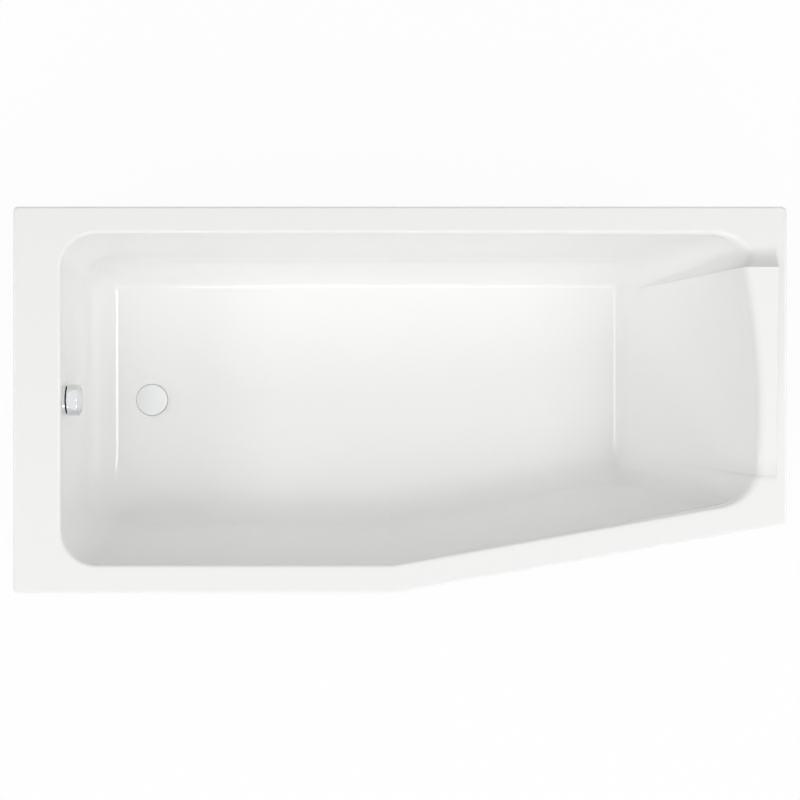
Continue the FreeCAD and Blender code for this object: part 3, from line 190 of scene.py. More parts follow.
# %% Floor
FLOOR_HALF = 40.0
FLOOR_GLOW_SHARE = 0.95
floor_finish, tree, _ = start_material("plain_floor")
share = add(tree, "ShaderNodeMath", {0: seen_itself(tree), 1: FLOOR_GLOW_SHARE}, operation="MULTIPLY")
matt = add(tree, "ShaderNodeBsdfDiffuse", {"Color": linear("#f6f6f6")})
glow = add(tree, "ShaderNodeEmission", {"Color": linear("#ffffff"), "Strength": 1.0})
shader = add(tree, "ShaderNodeMixShader", {0: share.outputs[0], 1: matt.outputs[0], 2: glow.outputs[0]})
add(tree, "ShaderNodeOutputMaterial", {"Surface": shader.outputs[0]})
floor_mesh = bpy.data.meshes.new("floor")
corners = [(-1, -1), (1, -1), (1, 1), (-1, 1)]
floor_mesh.from_pydata([(x * FLOOR_HALF, y * FLOOR_HALF, 0.0) for x, y in corners], [], [(0, 1, 2, 3)])
floor_mesh.materials.append(floor_finish)
floor = bpy.data.objects.new("floor", floor_mesh)
bpy.context.scene.collection.objects.link(floor)
print("floor", 2 * FLOOR_HALF, "m wide")

# %% [markdown]
# ## Acrylic
# The bath is one sheet of cast acrylic, heated and drawn into a mould. It is smooth and hard, with a clear
# gloss over a white that is the same all through. The mould leaves a very slight wave, and use leaves a haze
# of hairlines, so the gloss varies a little. A picture of such a sheet could be laid over it, but a noise for
# each has no edges and no seam.

# %% Acrylic finish
WAVE_LENGTH = 140 * MM
WAVE_DEPTH = 0.05 * MM
HAZE_PATCH = 18 * MM
acrylic, tree, place = start_material("cast_acrylic")
wave = add(tree, "ShaderNodeTexNoise", {"Vector": place, "Scale": 1 / WAVE_LENGTH, "Detail": 1.0})
haze = add(tree, "ShaderNodeTexNoise", {"Vector": place, "Scale": 1 / HAZE_PATCH, "Detail": 4.0})
gloss = add(tree, "ShaderNodeMapRange", {"Value": haze.outputs["Fac"], "To Min": 0.07, "To Max": 0.13})
ripple = add(tree, "ShaderNodeBump", {"Height": wave.outputs["Fac"], "Strength": 0.4, "Distance": WAVE_DEPTH})
shader = add(tree, "ShaderNodeBsdfPrincipled", {
    "Base Color": linear("#f6f6f5"), "Roughness": gloss.outputs[0], "IOR": 1.49, "Normal": ripple.outputs[0]})
add(tree, "ShaderNodeOutputMaterial", {"Surface": shader.outputs[0]})
print(acrylic.name, len(tree.nodes), "nodes")

# %% [markdown]
# ## Glass-fibre laminate
# The back of the sheet is sprayed with polyester resin and chopped glass, and rolled by hand. What shows is
# a felt of short strands, each about a millimetre and a half wide, lying every way under a yellowish resin.
# Thousands of thin solids could stand for them, at a high price for a face that is hardly seen. Stretched
# noises, turned against each other, give strands in several directions.

# %% Laminate finish
STRAND_CELL = (40 * MM, 3 * MM, 3 * MM)
STRAND_TURNS = ((0.3, 0.2, 0.1), (1.1, 0.7, 1.4), (0.5, 1.9, 2.3), (2.2, 0.4, 0.9))
LUMP = 35 * MM
STRAND_RELIEF = 0.8 * MM
laminate, tree, place = start_material("glass_fibre_laminate")
strands = None
for turn in STRAND_TURNS:
    turned = add(tree, "ShaderNodeMapping", {"Vector": place, "Rotation": turn, "Scale": STRAND_CELL},
                 vector_type="TEXTURE")
    layer = add(tree, "ShaderNodeTexNoise", {"Vector": turned.outputs[0], "Scale": 1.0, "Detail": 1.5})
    if strands is None:
        strands = layer.outputs["Fac"]
    else:
        strands = add(tree, "ShaderNodeMath", {0: strands, 1: layer.outputs["Fac"]},
                      operation="MAXIMUM").outputs[0]
lumps = add(tree, "ShaderNodeTexNoise", {"Vector": place, "Scale": 1 / LUMP, "Detail": 3.0})
tint = add(tree, "ShaderNodeValToRGB", {"Fac": strands})
tint.color_ramp.elements[0].position = 0.5
tint.color_ramp.elements[0].color = linear("#b9b49e")
tint.color_ramp.elements[1].position = 0.75
tint.color_ramp.elements[1].color = linear("#e4e0d0")
rise = add(tree, "ShaderNodeMath", {0: strands, 1: lumps.outputs["Fac"]}, operation="ADD")
relief = add(tree, "ShaderNodeBump", {"Height": rise.outputs[0], "Strength": 0.8, "Distance": STRAND_RELIEF})
shader = add(tree, "ShaderNodeBsdfPrincipled", {
    "Base Color": tint.outputs["Color"], "Roughness": 0.5, "IOR": 1.54, "Normal": relief.outputs[0]})
add(tree, "ShaderNodeOutputMaterial", {"Surface": shader.outputs[0]})
print(laminate.name, len(tree.nodes), "nodes")

# %% [markdown]
# ## Board and battens
# The floor is stiffened by chipboard, pressed from flakes a few millimetres long. A noise would give soft
# clouds instead of flakes. A cell pattern gives flakes with clear edges, each with a tone of its own.

# %% Chipboard finish
FLAKE = 5 * MM
FLAKE_RELIEF = 0.3 * MM
chipboard, tree, place = start_material("chipboard")
flakes = add(tree, "ShaderNodeTexVoronoi", {"Vector": place, "Scale": 1 / FLAKE})
tone = add(tree, "ShaderNodeSeparateColor", {"Color": flakes.outputs["Color"]})
tint = add(tree, "ShaderNodeValToRGB", {"Fac": tone.outputs[0]})
tint.color_ramp.elements[0].color = linear("#8d6a43")
tint.color_ramp.elements[1].color = linear("#cfae80")
relief = add(tree, "ShaderNodeBump", {"Height": tone.outputs[1], "Strength": 0.6, "Distance": FLAKE_RELIEF})
shader = add(tree, "ShaderNodeBsdfPrincipled", {
    "Base Color": tint.outputs["Color"], "Roughness": 0.85, "Normal": relief.outputs[0]})
add(tree, "ShaderNodeOutputMaterial", {"Surface": shader.outputs[0]})
print(chipboard.name, len(tree.nodes), "nodes")

# %% [markdown]
# The rim is stiffened by planed softwood battens, which show bands of early and late wood. A wave pattern
# would be too regular, so a noise is stretched along the length of the bath.

# %% Softwood finish
BAND_LENGTH = 220 * MM
BAND_WIDTH = 9 * MM
pine, tree, place = start_material("planed_softwood")
along = add(tree, "ShaderNodeMapping", {
    "Vector": place, "Scale": (1 / BAND_LENGTH, 1 / BAND_WIDTH, 1 / BAND_WIDTH)})
bands = add(tree, "ShaderNodeTexNoise", {"Vector": along.outputs[0], "Scale": 1.0, "Detail": 3.0,
                                         "Distortion": 0.6})
tint = add(tree, "ShaderNodeValToRGB", {"Fac": bands.outputs["Fac"]})
tint.color_ramp.elements[0].position = 0.35
tint.color_ramp.elements[0].color = linear("#dcb981")
tint.color_ramp.elements[1].position = 0.65
tint.color_ramp.elements[1].color = linear("#b98a4f")
shader = add(tree, "ShaderNodeBsdfPrincipled", {"Base Color": tint.outputs["Color"], "Roughness": 0.65})
add(tree, "ShaderNodeOutputMaterial", {"Surface": shader.outputs[0]})
print(pine.name, len(tree.nodes), "nodes")

# %% [markdown]
# ## Metals
# The knob and both flanges are chrome plate on brass, a mirror with at most a faint smear. One even roughness
# would look like a drawing of a mirror, so a noise lets it vary a little.

# %% Chrome finish
SMEAR = 25 * MM
chrome, tree, place = start_material("chrome_plate")
smear = add(tree, "ShaderNodeTexNoise", {"Vector": place, "Scale": 1 / SMEAR, "Detail": 3.0})
gloss = add(tree, "ShaderNodeMapRange", {"Value": smear.outputs["Fac"], "To Min": 0.03, "To Max": 0.09})
shader = add(tree, "ShaderNodeBsdfPrincipled", {
    "Base Color": linear("#e3e5e7"), "Metallic": 1.0, "Roughness": gloss.outputs[0]})
add(tree, "ShaderNodeOutputMaterial", {"Surface": shader.outputs[0]})
print(chrome.name, len(tree.nodes), "nodes")

# %% [markdown]
# The plug is brushed before it is plated, so it mirrors the room only softly. The brush marks themselves are
# too fine to show, and a higher roughness is enough.

# %% Satin finish of the plug
satin, tree, place = start_material("satin_chrome")
smear = add(tree, "ShaderNodeTexNoise", {"Vector": place, "Scale": 1 / SMEAR, "Detail": 3.0})
gloss = add(tree, "ShaderNodeMapRange", {"Value": smear.outputs["Fac"], "To Min": 0.36, "To Max": 0.44})
shader = add(tree, "ShaderNodeBsdfPrincipled", {
    "Base Color": linear("#eceded"), "Metallic": 1.0, "Roughness": gloss.outputs[0]})
add(tree, "ShaderNodeOutputMaterial", {"Surface": shader.outputs[0]})
print(satin.name, len(tree.nodes), "nodes")

# %% [markdown]
# Zinc plate on steel is duller. The crystals of the coating make patches a few millimetres across, each with
# its own gloss, and a cell pattern gives one value to each patch.

# %% Zinc finish
CRYSTAL = 6 * MM
zinc, tree, place = start_material("zinc_plated_steel")
crystals = add(tree, "ShaderNodeTexVoronoi", {"Vector": place, "Scale": 1 / CRYSTAL})
tone = add(tree, "ShaderNodeSeparateColor", {"Color": crystals.outputs["Color"]})
tint = add(tree, "ShaderNodeValToRGB", {"Fac": tone.outputs[0]})
tint.color_ramp.elements[0].color = linear("#a9adb0")
tint.color_ramp.elements[1].color = linear("#c3c7c9")
gloss = add(tree, "ShaderNodeMapRange", {"Value": tone.outputs[1], "To Min": 0.28, "To Max": 0.45})
shader = add(tree, "ShaderNodeBsdfPrincipled", {
    "Base Color": tint.outputs["Color"], "Metallic": 1.0, "Roughness": gloss.outputs[0]})
add(tree, "ShaderNodeOutputMaterial", {"Surface": shader.outputs[0]})
print(zinc.name, len(tree.nodes), "nodes")

# %% [markdown]
# ## Moulded plastics and rubber
# The waste and trap are pale polypropylene, the hose is a softer polyethylene, and the cable's wheel and the
# lift lever are acetal. The pads and clips are black nylon, the cable's sheath is black vinyl, and the seals
# and soles are rubber. Each could have a tree of its own, but all have a fine even grain, so one loop makes
# them from their colour, gloss and grain.

# %% Plastic and rubber finishes
GRAIN_PITCH = 1.2 * MM
GLOSS_PATCH = 30 * MM
GLOSS_SWING = 0.06
moulded = {}
for name, colour, sheen, grain in (
    ("polypropylene", "#dfdfdc", 0.38, 0.03 * MM),
    ("polyethylene", "#d3d3cd", 0.45, 0.03 * MM),
    ("black_nylon", "#1b1b1d", 0.50, 0.06 * MM),
    ("pvc_sheath", "#141415", 0.35, 0.02 * MM),
    ("acetal", "#e6e5df", 0.30, 0.02 * MM),
    ("black_rubber", "#161616", 0.80, 0.08 * MM),
):
    moulded[name], tree, place = start_material(name)
    dots = add(tree, "ShaderNodeTexNoise", {"Vector": place, "Scale": 1 / GRAIN_PITCH, "Detail": 2.0})
    patch = add(tree, "ShaderNodeTexNoise", {"Vector": place, "Scale": 1 / GLOSS_PATCH, "Detail": 2.0})
    gloss = add(tree, "ShaderNodeMapRange", {
        "Value": patch.outputs["Fac"], "To Min": sheen - GLOSS_SWING, "To Max": sheen + GLOSS_SWING})
    relief = add(tree, "ShaderNodeBump", {"Height": dots.outputs["Fac"], "Strength": 0.5, "Distance": grain})
    shader = add(tree, "ShaderNodeBsdfPrincipled", {
        "Base Color": linear(colour), "Roughness": gloss.outputs[0], "Normal": relief.outputs[0]})
    add(tree, "ShaderNodeOutputMaterial", {"Surface": shader.outputs[0]})
print("moulded finishes", sorted(moulded))

# %% [markdown]
# ## Finishes on the solids
# Every solid names its material in a slot, and each slot gets its finish. The solids come in as triangles
# that are shaded as if they were round, which bends the reflections on flat tops. Sharp edges everywhere
# would break up the round pieces, so the large faces get the say over the shading at each corner.

# %% Finishes on the solids
FLAT_WEIGHT = 100
finish_of_slot = {
    "white_acrylic": acrylic, "glass_fibre": laminate, "chipboard": chipboard, "pine": pine,
    "zinc_steel": zinc, "chrome": chrome, "black_plastic": moulded["black_nylon"],
    "rubber": moulded["black_rubber"], "grey_plastic": moulded["polypropylene"],
    "hose_plastic": moulded["polyethylene"], "white_plastic": moulded["acetal"],
}
for row in frame["record"]["subparts"]:
    mesh = nodes[row["node"]].data
    mesh.materials.clear()
    mesh.materials.append(finish_of_slot[row["material_slot"]])
    flats = nodes[row["node"]].modifiers.new("flat_faces", "WEIGHTED_NORMAL")
    flats.weight = FLAT_WEIGHT
nodes["waste_plug"].data.materials[0] = satin

# %% [markdown]
# ## The moulded bath
# The bath is one acrylic sheet, heated and drawn down into a mould, so floor, walls, rim and skirt run into
# each other without a seam. The floor meets the wall side and the foot end in a crease, the corners are tight
# at the floor and widen towards the rim, and the headrest swells out of the backrest and over the rim. The
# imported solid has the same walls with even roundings. A cage with subdivision could soften them, but loops of
# points, one above the other, keep every size readable. They run from the drain up over the rim and back
# underneath, all with the same number of points. The lists give a value for each side, in the order of the
# sides, and a corner belongs to the side that starts there.

# %% Sizes of the sheet
BATH_LOW, BATH_HIGH = (Vector(corner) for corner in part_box("tub_shell"))
FLOOR_HEIGHT = 185 * MM
DEPTH = RIM_HEIGHT - FLOOR_HEIGHT
FLOOR_FALL = math.tan(math.radians(0.5))
DRAIN_X = -566 * MM
SHEET = 5 * MM
BEND_X = -10 * MM
HEAD_SETBACK = 144 * MM
SIDES = ("front", "angled_front", "head_end", "wall_side", "foot_end")
HEAD, WALL, FOOT = (SIDES.index(name) for name in ("head_end", "wall_side", "foot_end"))
OUTLINE = [Vector((BATH_LOW.x, BATH_LOW.y)), Vector((BEND_X, BATH_LOW.y)),
           Vector((BATH_HIGH.x, BATH_LOW.y + HEAD_SETBACK)), Vector((BATH_HIGH.x, BATH_HIGH.y)),
           Vector((BATH_LOW.x, BATH_HIGH.y))]
RIM_WIDTH = [58 * MM, 58 * MM, 74 * MM, 55 * MM, 98 * MM]
WALL_RUN = [84 * MM, 84 * MM, 241 * MM, 44 * MM, 12 * MM]
FLOOR_RADIUS = [86 * MM, 86 * MM, 16 * MM, 79 * MM, 65 * MM]
FLOOR_TALL = [1.4, 1.4, 1.0, 1.6, 2.0]
CREASE = [0.0, 0.0, 0.0, math.radians(25), math.radians(25)]
CREASE_RADIUS = 10 * MM
CORNER_LOW = [70 * MM, 8 * MM, 8 * MM, 8 * MM, 8 * MM]
CORNER_HIGH = 74 * MM
CORNER_POWER = 4
HEAD_BOW = 28 * MM
for name, rim, run in zip(SIDES, RIM_WIDTH, WALL_RUN):
    print(name, "rim", round(rim / MM), "mm, wall leans out", round(run / MM), "mm")

# %% [markdown]
# The headrest is tilted: it stands proud along its wall-side edge and is slightly sunk along its front edge.
# Both edges run slightly apart towards the rim. Past the wall-side edge it falls away in a hollow, and past
# the front edge a small step leads up. A second piece could be laid on the backrest, but in the mould both
# are one sheet, so the headrest only shifts the points of the loops.

# %% Headrest
HEADREST_LOW = 255 * MM
HEADREST_WALL = 30 * MM
HEADREST_FRONT = -2.5 * MM
FRONT_STEP = 6 * MM
FRONT_EDGE, FRONT_SPREAD = -155 * MM, 32 * MM
WALL_EDGE, WALL_SPREAD = 273 * MM, 26 * MM
HOLLOW_LOW, HOLLOW_GROWTH = 5 * MM, 39 * MM


def headrest_edges(z):
    """The share of its full height that the headrest has at a level, and the four lines along it there."""
    share = min(1.0, max(0.0, (z - HEADREST_LOW) / (RIM_HEIGHT - HEADREST_LOW)))
    front = FRONT_EDGE + FRONT_SPREAD * (1 - share)
    wall = WALL_EDGE - WALL_SPREAD * (1 - share)
    hollow = HOLLOW_LOW + HOLLOW_GROWTH * share
    return share, (front - FRONT_STEP, front, wall, wall + hollow)


def headrest_swell(y, z):
    """How far the headrest stands out at a place along the head end and a level."""
    share, (start, front, wall, end) = headrest_edges(z)
    if not start < y < end:
        return 0.0
    if y < front:
        return share * HEADREST_FRONT * (y - start) / (front - start)
    if y > wall:
        return share * HEADREST_WALL * ((end - y) / (end - wall)) ** 2
    return share * (HEADREST_FRONT + (HEADREST_WALL - HEADREST_FRONT) * (y - front) / (wall - front))


print("headrest lines at the rim", [round(y / MM) for y in headrest_edges(RIM_HEIGHT)[1]], "mm")

# %% [markdown]
# A wall leans out by its run over the depth. Where it meets the floor there is first a tight rounding up to
# the crease, and then a wide one, which can be taller than it is wide. Behind the face, both grow by the
# thickness.

# %% Walls
INWARD = []
for start, end in zip(OUTLINE, OUTLINE[1:] + OUTLINE[:1]):
    along = (end - start).normalized()
    INWARD.append(Vector((-along.y, along.x)))


def wall_inset(side, z, height, grow):
    """How far a wall lies in from the rim's outer edge, at a height over the floor."""
    lean = math.atan2(WALL_RUN[side], DEPTH)
    crease, tall = CREASE[side], FLOOR_TALL[side]
    tight, wide = CREASE_RADIUS + grow, FLOOR_RADIUS[side] + grow
    plane = RIM_WIDTH[side] + (RIM_HEIGHT - z) * math.tan(lean) - grow / math.cos(lean)
    first, last = math.atan(math.tan(crease) / tall), math.pi / 2 - math.atan(tall * math.tan(lean))
    low = tight * (1 - math.cos(crease))
    top = low + tall * wide * (math.cos(first) - math.cos(last))
    if height >= top:
        return plane
    if height < low:
        run = tight * math.sin(math.acos(1 - height / tight))
    else:
        slope = math.acos(math.cos(first) - (height - low) / (tall * wide))
        run = tight * math.sin(crease) + wide * (math.sin(slope) - math.sin(first))
    whole = tight * math.sin(crease) + wide * (math.sin(last) - math.sin(first))
    return plane + (height - top) * math.tan(lean) + whole - run


floor_insets = [wall_inset(side, FLOOR_HEIGHT, 0.0, 0.0) for side in range(len(SIDES))]
print("the floor lies in from the rim's edge by", [round(inset / MM) for inset in floor_insets], "mm")

# %% [markdown]
# Two sides, shifted in, meet in a corner, and an arc rounds it. A bevel could round the corners of the whole
# sheet at once, but here a corner has another radius at every height.

# %% Corners
def meeting(side, inset_before, inset):
    """The corner between the side before and a side, each shifted in."""
    one, two = INWARD[side - 1], INWARD[side]
    far_one = one.dot(OUTLINE[side - 1]) + inset_before
    far_two = two.dot(OUTLINE[side]) + inset
    cross = one.x * two.y - one.y * two.x
    return Vector(((far_one * two.y - far_two * one.y) / cross, (one.x * far_two - two.x * far_one) / cross))


def arc_at(before, corner, after, radius):
    """Centre, start and end of the arc that rounds a corner."""
    back, on = (before - corner).normalized(), (after - corner).normalized()
    half = back.angle(on) / 2
    reach = radius / math.tan(half)
    centre = corner + (back + on).normalized() * (radius / math.sin(half))
    return centre, corner + back * reach, corner + on * reach


for side, name in enumerate(SIDES):
    corner = meeting(side, floor_insets[side - 1], floor_insets[side])
    print("the floor's corner before the", name, [round(v / MM) for v in corner], "mm")

# %% [markdown]
# Along the head end the points keep to the headrest's lines, so that its edges stay clean from loop to loop.
# Even steps would let the edges fall between two points and look notched.

# %% Points along the head end
HEAD_STEPS = [10, 4, 12, 12, 10]
LEAST_GAP = 2 * MM


def head_points(first, last, radius, z):
    """Points round both corners of the head end and between them, in steps that meet the headrest's lines."""
    low, arc_start, _ = first
    high, _, arc_end = last
    turn = math.atan2(arc_start.y - low.y, arc_start.x - low.x)
    bend, straight = -turn * radius, high.y - low.y
    whole = bend + straight + radius * math.pi / 2
    marks = [0.0]
    for y in headrest_edges(z)[1]:
        under = max(math.sin(turn), min(0.0, (y - low.y) / radius))
        over = max(0.0, min(1.0, (y - high.y) / radius))
        mark = bend + radius * (math.asin(under) + math.asin(over)) + min(max(y, low.y), high.y) - low.y
        marks.append(max(mark, marks[-1] + LEAST_GAP))
    marks.append(whole)
    for place in range(len(marks) - 2, 0, -1):
        marks[place] = min(marks[place], marks[place + 1] - LEAST_GAP)
    points = []
    for start, end, steps in zip(marks, marks[1:], HEAD_STEPS):
        for step in range(steps):
            length = start + (end - start) * step / steps
            if length < bend:
                angle = turn + length / radius
                points.append(low + radius * Vector((math.cos(angle), math.sin(angle))))
            elif length < bend + straight:
                points.append(Vector((low.x + radius, low.y + length - bend)))
            else:
                angle = (length - bend - straight) / radius
                points.append(high + radius * Vector((math.cos(angle), math.sin(angle))))
    return points + [arc_end.copy()]


print("points along the head end", sum(HEAD_STEPS) + 1)

# %% [markdown]
# On the other sides the points are spread evenly between the arcs. A loop takes its level and its insets as
# functions, because the floor falls towards the drain and a lower floor lies further in. The place of a
# corner therefore follows from itself, and a few rounds settle it.

# %% One loop
SIDE_STEPS = [24, 12, None, 40, 16]
ARC_STEPS = 12
CORNER_ROUNDS = 3


def ring(level, inset, radius, bow=0.0, shift=0.0, lift=0.0):
    """One loop round the bath, from a level at each x, an inset for each side and x, and corner radii."""
    corners = []
    for side in range(len(OUTLINE)):
        corner = OUTLINE[side]
        for _ in range(CORNER_ROUNDS):
            corner = meeting(side, inset((side - 1) % len(OUTLINE), corner.x), inset(side, corner.x))
        corners.append(corner)
    arcs = [arc_at(corners[side - 1], corners[side], corners[(side + 1) % len(corners)], radius[side])
            for side in range(len(corners))]
    points = []
    for side in range(len(corners)):
        if side == HEAD:
            z = level(corners[side].x)
            for point in head_points(arcs[HEAD], arcs[WALL], radius[HEAD], z):
                middle = (arcs[HEAD][1].y + arcs[WALL][2].y) / 2
                across = (point.y - middle) / (arcs[WALL][2].y - middle)
                proud = headrest_swell(point.y, z)
                points.append(Vector((point.x + bow * (1 - across ** 2) - shift * proud, point.y,
                                      level(point.x) + lift * proud)))
            continue
        centre, start, end = arcs[side]
        if side != WALL:
            first = math.atan2(start.y - centre.y, start.x - centre.x)
            turn = (math.atan2(end.y - centre.y, end.x - centre.x) - first) % (2 * math.pi)
            for step in range(ARC_STEPS + 1):
                angle = first + turn * step / ARC_STEPS
                point = centre + radius[side] * Vector((math.cos(angle), math.sin(angle)))
                points.append(Vector((point.x, point.y, level(point.x))))
        after = arcs[(side + 1) % len(arcs)][1]
        for step in range(1, SIDE_STEPS[side]):
            point = end.lerp(after, step / SIDE_STEPS[side])
            points.append(Vector((point.x, point.y, level(point.x))))
    return points


def flat_ring(z, inset, radius, lift=0.0, bow=0.0):
    """A level loop, with the same rounding at each corner."""
    return ring(lambda x: z, inset, [radius] * len(OUTLINE), bow, 0.0, lift)


print("points in a loop", len(flat_ring(RIM_HEIGHT, lambda side, x: RIM_WIDTH[side], CORNER_HIGH)))

# %% [markdown]
# The basin's loops follow the floor at their foot and are level at the rim. Inside the floor, circles round
# the drain take over, with as many points as the loop around them.

# %% Loops of the basin
def basin_ring(height, grow, proud=0.0, more=0.0):
    """A loop of the basin at a height over the floor, on its face or behind it, or a little further in."""
    share = min(1.0, height / DEPTH)
    fall = FLOOR_FALL * (1 - share)
    radius = [CORNER_HIGH + (low - CORNER_HIGH) * (1 - share) ** CORNER_POWER + grow for low in CORNER_LOW]

    def level(x):
        return FLOOR_HEIGHT - grow + height + fall * (x - DRAIN_X)
    return ring(level, lambda side, x: wall_inset(side, level(x), height, grow) + more, radius,
                HEAD_BOW * share, proud, proud)


def drain_ring(radius, z, around, fall=0.0):
    """A circle round the drain, with a point towards each point of the loop around it."""
    points = []
    for point in around:
        away = Vector((point.x - DRAIN_X, point.y, 0.0)).normalized() * radius
        points.append(Vector((DRAIN_X, 0.0, z + fall * away.x)) + away)
    return points


print("floor at the head end", round(max(point.z for point in basin_ring(0.0, 0.0)) / MM, 1), "mm")

# %% [markdown]
# The loops are joined in order and the last to the first, which closes the sheet. The overflow needs a round
# hole square to the foot-end wall. The loops could be bent round it, but a boolean cut is the plain way to
# drill it.

# %% Closing and drilling
OVERFLOW_Z = 540 * MM
DRILL_DEPTH = 80 * MM
DRILL_FACETS = 72
SHARP_FROM = math.radians(38)


def close_rings(name, rings, finish):
    """A closed mesh from loops, each joined to the next and the last to the first."""
    count = len(rings[0])
    faces = []
    for row in range(len(rings)):
        here, there = row * count, (row + 1) % len(rings) * count
        for column in range(count):
            beside = (column + 1) % count
            faces.append((here + column, there + column, there + beside, here + beside))
    mesh = bpy.data.meshes.new(name)
    mesh.from_pydata([point for loop in rings for point in loop], [], faces)
    mesh.materials.append(finish)
    piece = bpy.data.objects.new(name, mesh)
    bpy.context.scene.collection.objects.link(piece)
    return piece


def drill_overflow(piece, radius):
    """Drills the overflow's hole and keeps smooth shading up to a real edge."""
    lean = math.atan2(WALL_RUN[FOOT], DEPTH)
    inset = wall_inset(FOOT, OVERFLOW_Z, OVERFLOW_Z - FLOOR_HEIGHT, 0.0)
    place = Vector((BATH_LOW.x + inset, 0.0, OVERFLOW_Z))
    build = bmesh.new()
    bmesh.ops.create_cone(build, cap_ends=True, segments=DRILL_FACETS, radius1=radius, radius2=radius,
                          depth=DRILL_DEPTH)
    bmesh.ops.rotate(build, verts=build.verts, matrix=Matrix.Rotation(math.pi / 2 - lean, 3, "Y"))
    bmesh.ops.translate(build, verts=build.verts, vec=place)
    cutter_mesh = bpy.data.meshes.new("drill")
    build.to_mesh(cutter_mesh)
    build.free()
    cutter = bpy.data.objects.new("drill", cutter_mesh)
    bpy.context.scene.collection.objects.link(cutter)
    cut = piece.modifiers.new("overflow_hole", "BOOLEAN")
    cut.operation = "DIFFERENCE"
    cut.object = cutter
    made = piece.evaluated_get(bpy.context.evaluated_depsgraph_get())
    mesh = bpy.data.meshes.new_from_object(made)
    piece.modifiers.remove(cut)
    bpy.data.objects.remove(cutter)
    piece.data = mesh
    mesh.shade_smooth()
    mesh.set_sharp_from_angle(angle=SHARP_FROM)
    print(piece.name, len(mesh.polygons), "faces")

# %% [markdown]
# The walls turn over into the rim with a rounding that is wider at the head end. A bevel has one width, so
# the rounding is drawn as loops too, one for each step of the turn.

# %% Rounding of the rim
INNER_ROUND = 7 * MM
HEAD_ROUND = 20 * MM
HEAD_ROUND_FROM = 0.66
HEAD_ROUND_TO = 0.72
TURNS = [math.radians(degrees) for degrees in (0, 15, 30, 45, 60, 75, 90)]


def rim_round(turn, out=0.0):
    """A loop of the rounding between the walls and the rim, from upright to flat, wider at the head end."""
    def size(x):
        share = min(1.0, max(0.0, (x - HEAD_ROUND_FROM) / (HEAD_ROUND_TO - HEAD_ROUND_FROM)))
        return INNER_ROUND + (HEAD_ROUND - INNER_ROUND) * share

    def level(x):
        return RIM_HEIGHT - size(x) * (1 - math.sin(turn))

    def inset(side, x):
        lean = math.atan2(WALL_RUN[side], DEPTH)
        if turn <= lean:
            return wall_inset(side, level(x), level(x) - FLOOR_HEIGHT, 0.0)
        radius = size(x) if side == HEAD else INNER_ROUND
        return RIM_WIDTH[side] + radius * (math.tan(lean) - 1 / math.cos(lean) + math.cos(turn)) - out
    radius = CORNER_HIGH + INNER_ROUND * (1 - math.cos(turn)) + out
    return ring(level, inset, [radius] * len(OUTLINE), HEAD_BOW, 1.0, 1.0)


print("rounding of the rim", len(TURNS), "loops")

# %% [markdown]
# The upper face starts in the dish of the drain, and goes over the floor and up the walls. The heights lie
# close together where the floor turns up. A loop close to an edge holds the shading flat up to it.

# %% Loops of the upper face
SUPPORT = 2 * MM
HEIGHTS = [0.0, 0.1 * MM, 0.35 * MM, 0.94 * MM, 2 * MM, 4 * MM, 7 * MM, 11 * MM, 16 * MM, 22 * MM, 30 * MM,
           40 * MM, 52 * MM, 66 * MM, 80 * MM, 105 * MM, 140 * MM, 180 * MM, 220 * MM, 260 * MM, 300 * MM,
           335 * MM, 360 * MM, 380 * MM, 391 * MM]
HOLE_R, POCKET_R, DISH_R = 25.5 * MM, 36.3 * MM, 46 * MM
DISH_Z, LIP_Z = 176 * MM, 182.5 * MM
floor_ring = basin_ring(0.0, 0.0, more=SUPPORT)
sheet = [drain_ring(HOLE_R, DISH_Z, floor_ring), drain_ring(POCKET_R, DISH_Z, floor_ring),
         drain_ring(POCKET_R, LIP_Z, floor_ring), drain_ring(DISH_R, FLOOR_HEIGHT, floor_ring, FLOOR_FALL),
         drain_ring(DISH_R + SUPPORT, FLOOR_HEIGHT, floor_ring, FLOOR_FALL), floor_ring]
sheet += [basin_ring(height, 0.0, 1.0) for height in HEIGHTS]
sheet += [rim_round(turn) for turn in TURNS] + [rim_round(TURNS[-1], SUPPORT)]
print("loops of the upper face", len(sheet))

# %% [markdown]
# On the rim the headrest ends in a small lip, a little in from the outer edge. Each row says how far inside
# the lip it lies and which share of the headrest's height it keeps. Then come the outer rounding, the skirt
# with a small bevel at its foot, and the way back up behind it.

# %% Loops of rim and skirt
OUTER_ROUND = 5 * MM
OUTER_CORNER = 9 * MM
SKIRT_Z = 560 * MM
SKIRT_BEVEL = 0.5 * MM
LIP_INSET = 22 * MM
LIP_ROWS = ((6 * MM, 1.0), (2.5 * MM, 1.0), (1.2 * MM, 1.0), (0.5 * MM, 0.96), (0.0, 0.8), (-0.3 * MM, 0.0),
            (-2 * MM, 0.0))
SKIRT_ROWS = ((0.0, SKIRT_Z + SKIRT_BEVEL), (SKIRT_BEVEL, SKIRT_Z), (SHEET, SKIRT_Z),
              (SHEET, RIM_HEIGHT - SHEET))
for inside, lift in LIP_ROWS:
    sheet.append(flat_ring(RIM_HEIGHT, lambda side, x: LIP_INSET + inside, OUTER_CORNER, lift))
sheet.append(flat_ring(RIM_HEIGHT, lambda side, x: OUTER_ROUND + SUPPORT, OUTER_CORNER))
for turn in TURNS:
    z = RIM_HEIGHT - OUTER_ROUND * (1 - math.cos(turn))
    sheet.append(flat_ring(z, lambda side, x: OUTER_ROUND * (1 - math.sin(turn)), OUTER_CORNER))
for inset, z in SKIRT_ROWS:
    sheet.append(flat_ring(z, lambda side, x: inset, OUTER_CORNER - inset))
print("loops as far as the skirt", len(sheet))

# %% [markdown]
# The back of the sheet is the same walls again, a thickness behind the face. A solidify modifier could give
# it, but with loops each rounding stays a true one, larger by the thickness, and the headrest stays flat
# behind.

